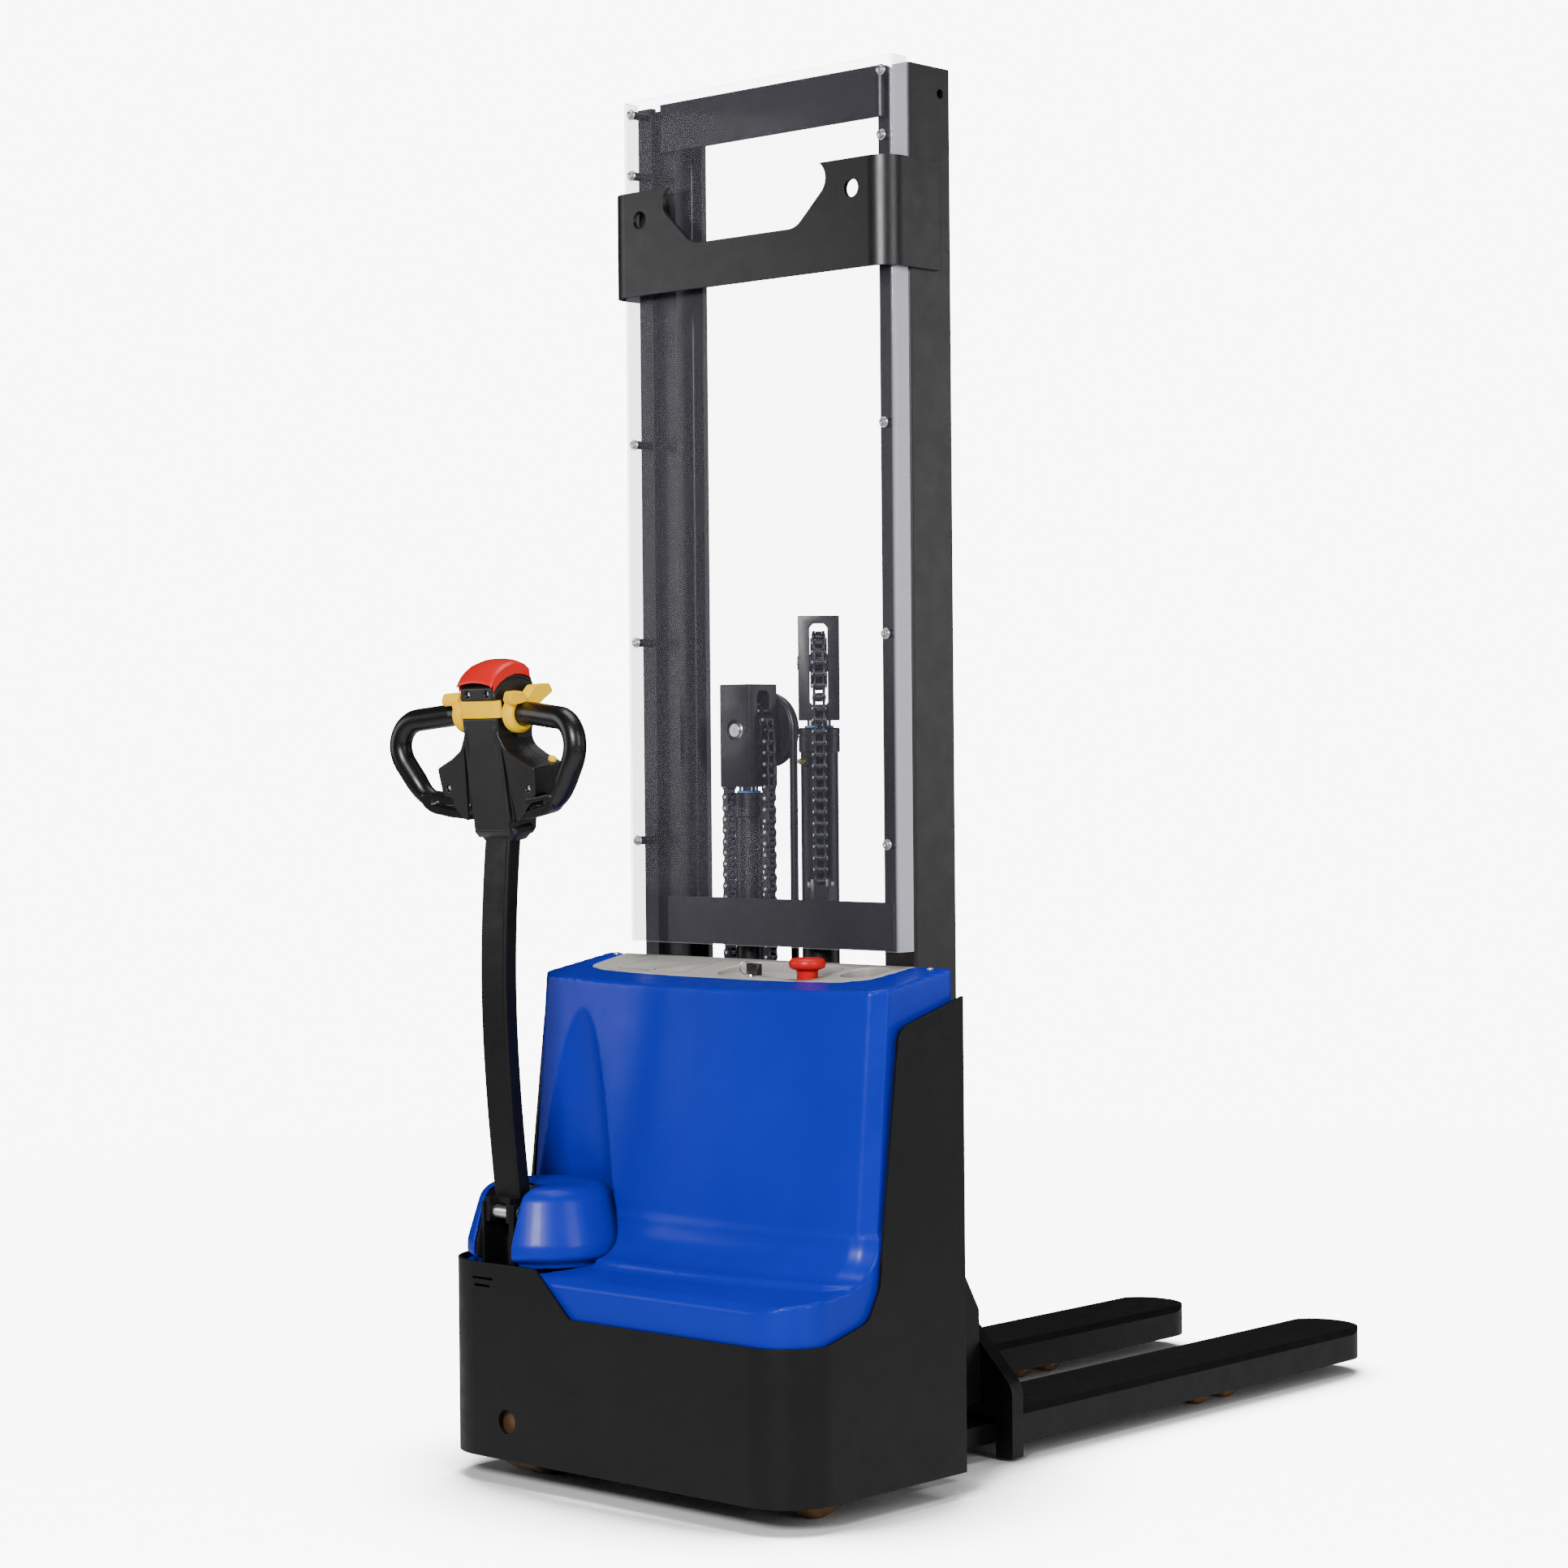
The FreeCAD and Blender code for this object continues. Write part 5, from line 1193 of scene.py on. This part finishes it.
def wheels():
    """Four load rollers, the caster's wheel and the drive wheel."""
    for side, where in ((-1, "left"), (1, "right")):
        for y, place in ((1292, "rear"), (1378, "front")):
            name = f"roller_{where}_{place}"
            wheel(name + "_tyre", "load_" + name, (side * 205, y, 37), 37, 25, 24, 10, "roller_tread", name)
    wheel("caster_tyre", "caster_wheel", (300, 158, 50), 50, 20, 33, 8, "roller_tread", "caster_roll")
    wheel("drive_tyre", "drive_wheel", (*STEER, 110), 110, 36, 86, 20.1, "drive_tread", "traction_wheel", 26)


window_screws()
wheels()


# ---- stage


WHITE = 9.0
FLOOR_GLOW = 8.0


def softbox(name, place, target, size, watts):
    """Soft lamp at a place, turned towards a target; all in metres."""
    light = bpy.data.lights.new(name, "AREA")
    light.shape = "RECTANGLE"
    light.size, light.size_y = size
    light.energy = watts
    box = add_object(name, light)
    box.location = place
    box.rotation_euler = (Vector(target) - Vector(place)).to_track_quat("-Z", "Y").to_euler()


def pale_floor():
    """Disc that fades out towards its rim and glows to the camera, with a painted contact shadow where
    ambient occlusion dims the glow close round the truck.
    """
    s = Surface("pale floor", (0.8, 0.8, 0.805), 0.75, specular=0.1)
    away = s.node("VectorMath", vector=s.place)
    away.operation = "LENGTH"
    s.link(s.remap(away.outputs["Value"], 2.2, 5.0, 1.0, 0.0), s.shader.inputs["Alpha"])
    # painted shadow: the camera-only glow drops where ambient occlusion is low round the truck
    camera_glow_with_painted_shadow = s.node("Math", value=s.remap(s.hollows(0.5), 0.56, 0.9, 0.0, FLOOR_GLOW))
    camera_glow_with_painted_shadow.operation = "MULTIPLY"
    s.link(s.node("LightPath").outputs["Is Camera Ray"], camera_glow_with_painted_shadow.inputs[1])
    s.set("Emission Color", (1, 1, 1, 1))
    s.link(camera_glow_with_painted_shadow.outputs["Value"], s.shader.inputs["Emission Strength"])
    shape = bmesh.new()
    bmesh.ops.create_circle(shape, cap_ends=True, segments=96, radius=5.2)
    floor = plain_object("floor", shape)
    floor.data.materials.append(s.material)


def white_surroundings():
    """World that looks white to the camera and adds only a little light."""
    world = bpy.data.worlds.new("studio")
    world.use_nodes = True
    tree = world.node_tree
    seen = tree.nodes.new("ShaderNodeLightPath")
    power = tree.nodes.new("ShaderNodeMapRange")
    power.inputs["To Min"].default_value = 0.055
    power.inputs["To Max"].default_value = WHITE
    tree.links.new(seen.outputs["Is Camera Ray"], power.inputs["Value"])
    tree.links.new(power.outputs["Result"], tree.nodes["Background"].inputs["Strength"])
    tree.nodes["Background"].inputs["Color"].default_value = (1, 1, 1, 1)
    bpy.context.scene.world = world


def studio():
    """Pale floor that fades into the white surroundings, soft lights round it."""
    pale_floor()
    white_surroundings()
    softbox("key", (2.4, -5.4, 3.2), (0, -0.6, 0.9), (1.2, 1.4), 420)
    softbox("fill", (5.0, -1.0, 2.4), (0, 0, 1.0), (1.6, 3.2), 110)
    softbox("side", (4.6, 4.4, 1.9), (0, 0, 1.0), (2.4, 3.2), 60)
    softbox("low", (-4.6, -4.0, 2.0), (0, -0.4, 1.0), (2.4, 2.6), 70)
    softbox("top", (0.0, 0.0, 5.2), (0, 0, 0), (3.0, 3.0), 150)


def truck_camera():
    """Camera with a long lens at chest height, off the truck's right rear corner."""
    yaw, pitch, roll = radians(42.4), radians(-0.66), radians(-0.51)
    forward = Vector((-sin(yaw) * cos(pitch), cos(yaw) * cos(pitch), sin(pitch)))
    side = Vector((cos(yaw), sin(yaw), 0))
    up = side.cross(forward)
    right = side * cos(roll) + up * sin(roll)
    up = right.cross(forward)
    lens = bpy.data.cameras.new("camera")
    lens.sensor_width = 36
    lens.lens = 79.11
    lens.clip_end = 200
    camera = add_object("camera", lens)
    facing = Matrix((right, up, -forward)).transposed().to_4x4()
    camera.matrix_world = move(*at(3889.67, -3827.52, 1205.66)) @ facing
    bpy.context.scene.camera = camera


studio()
truck_camera()
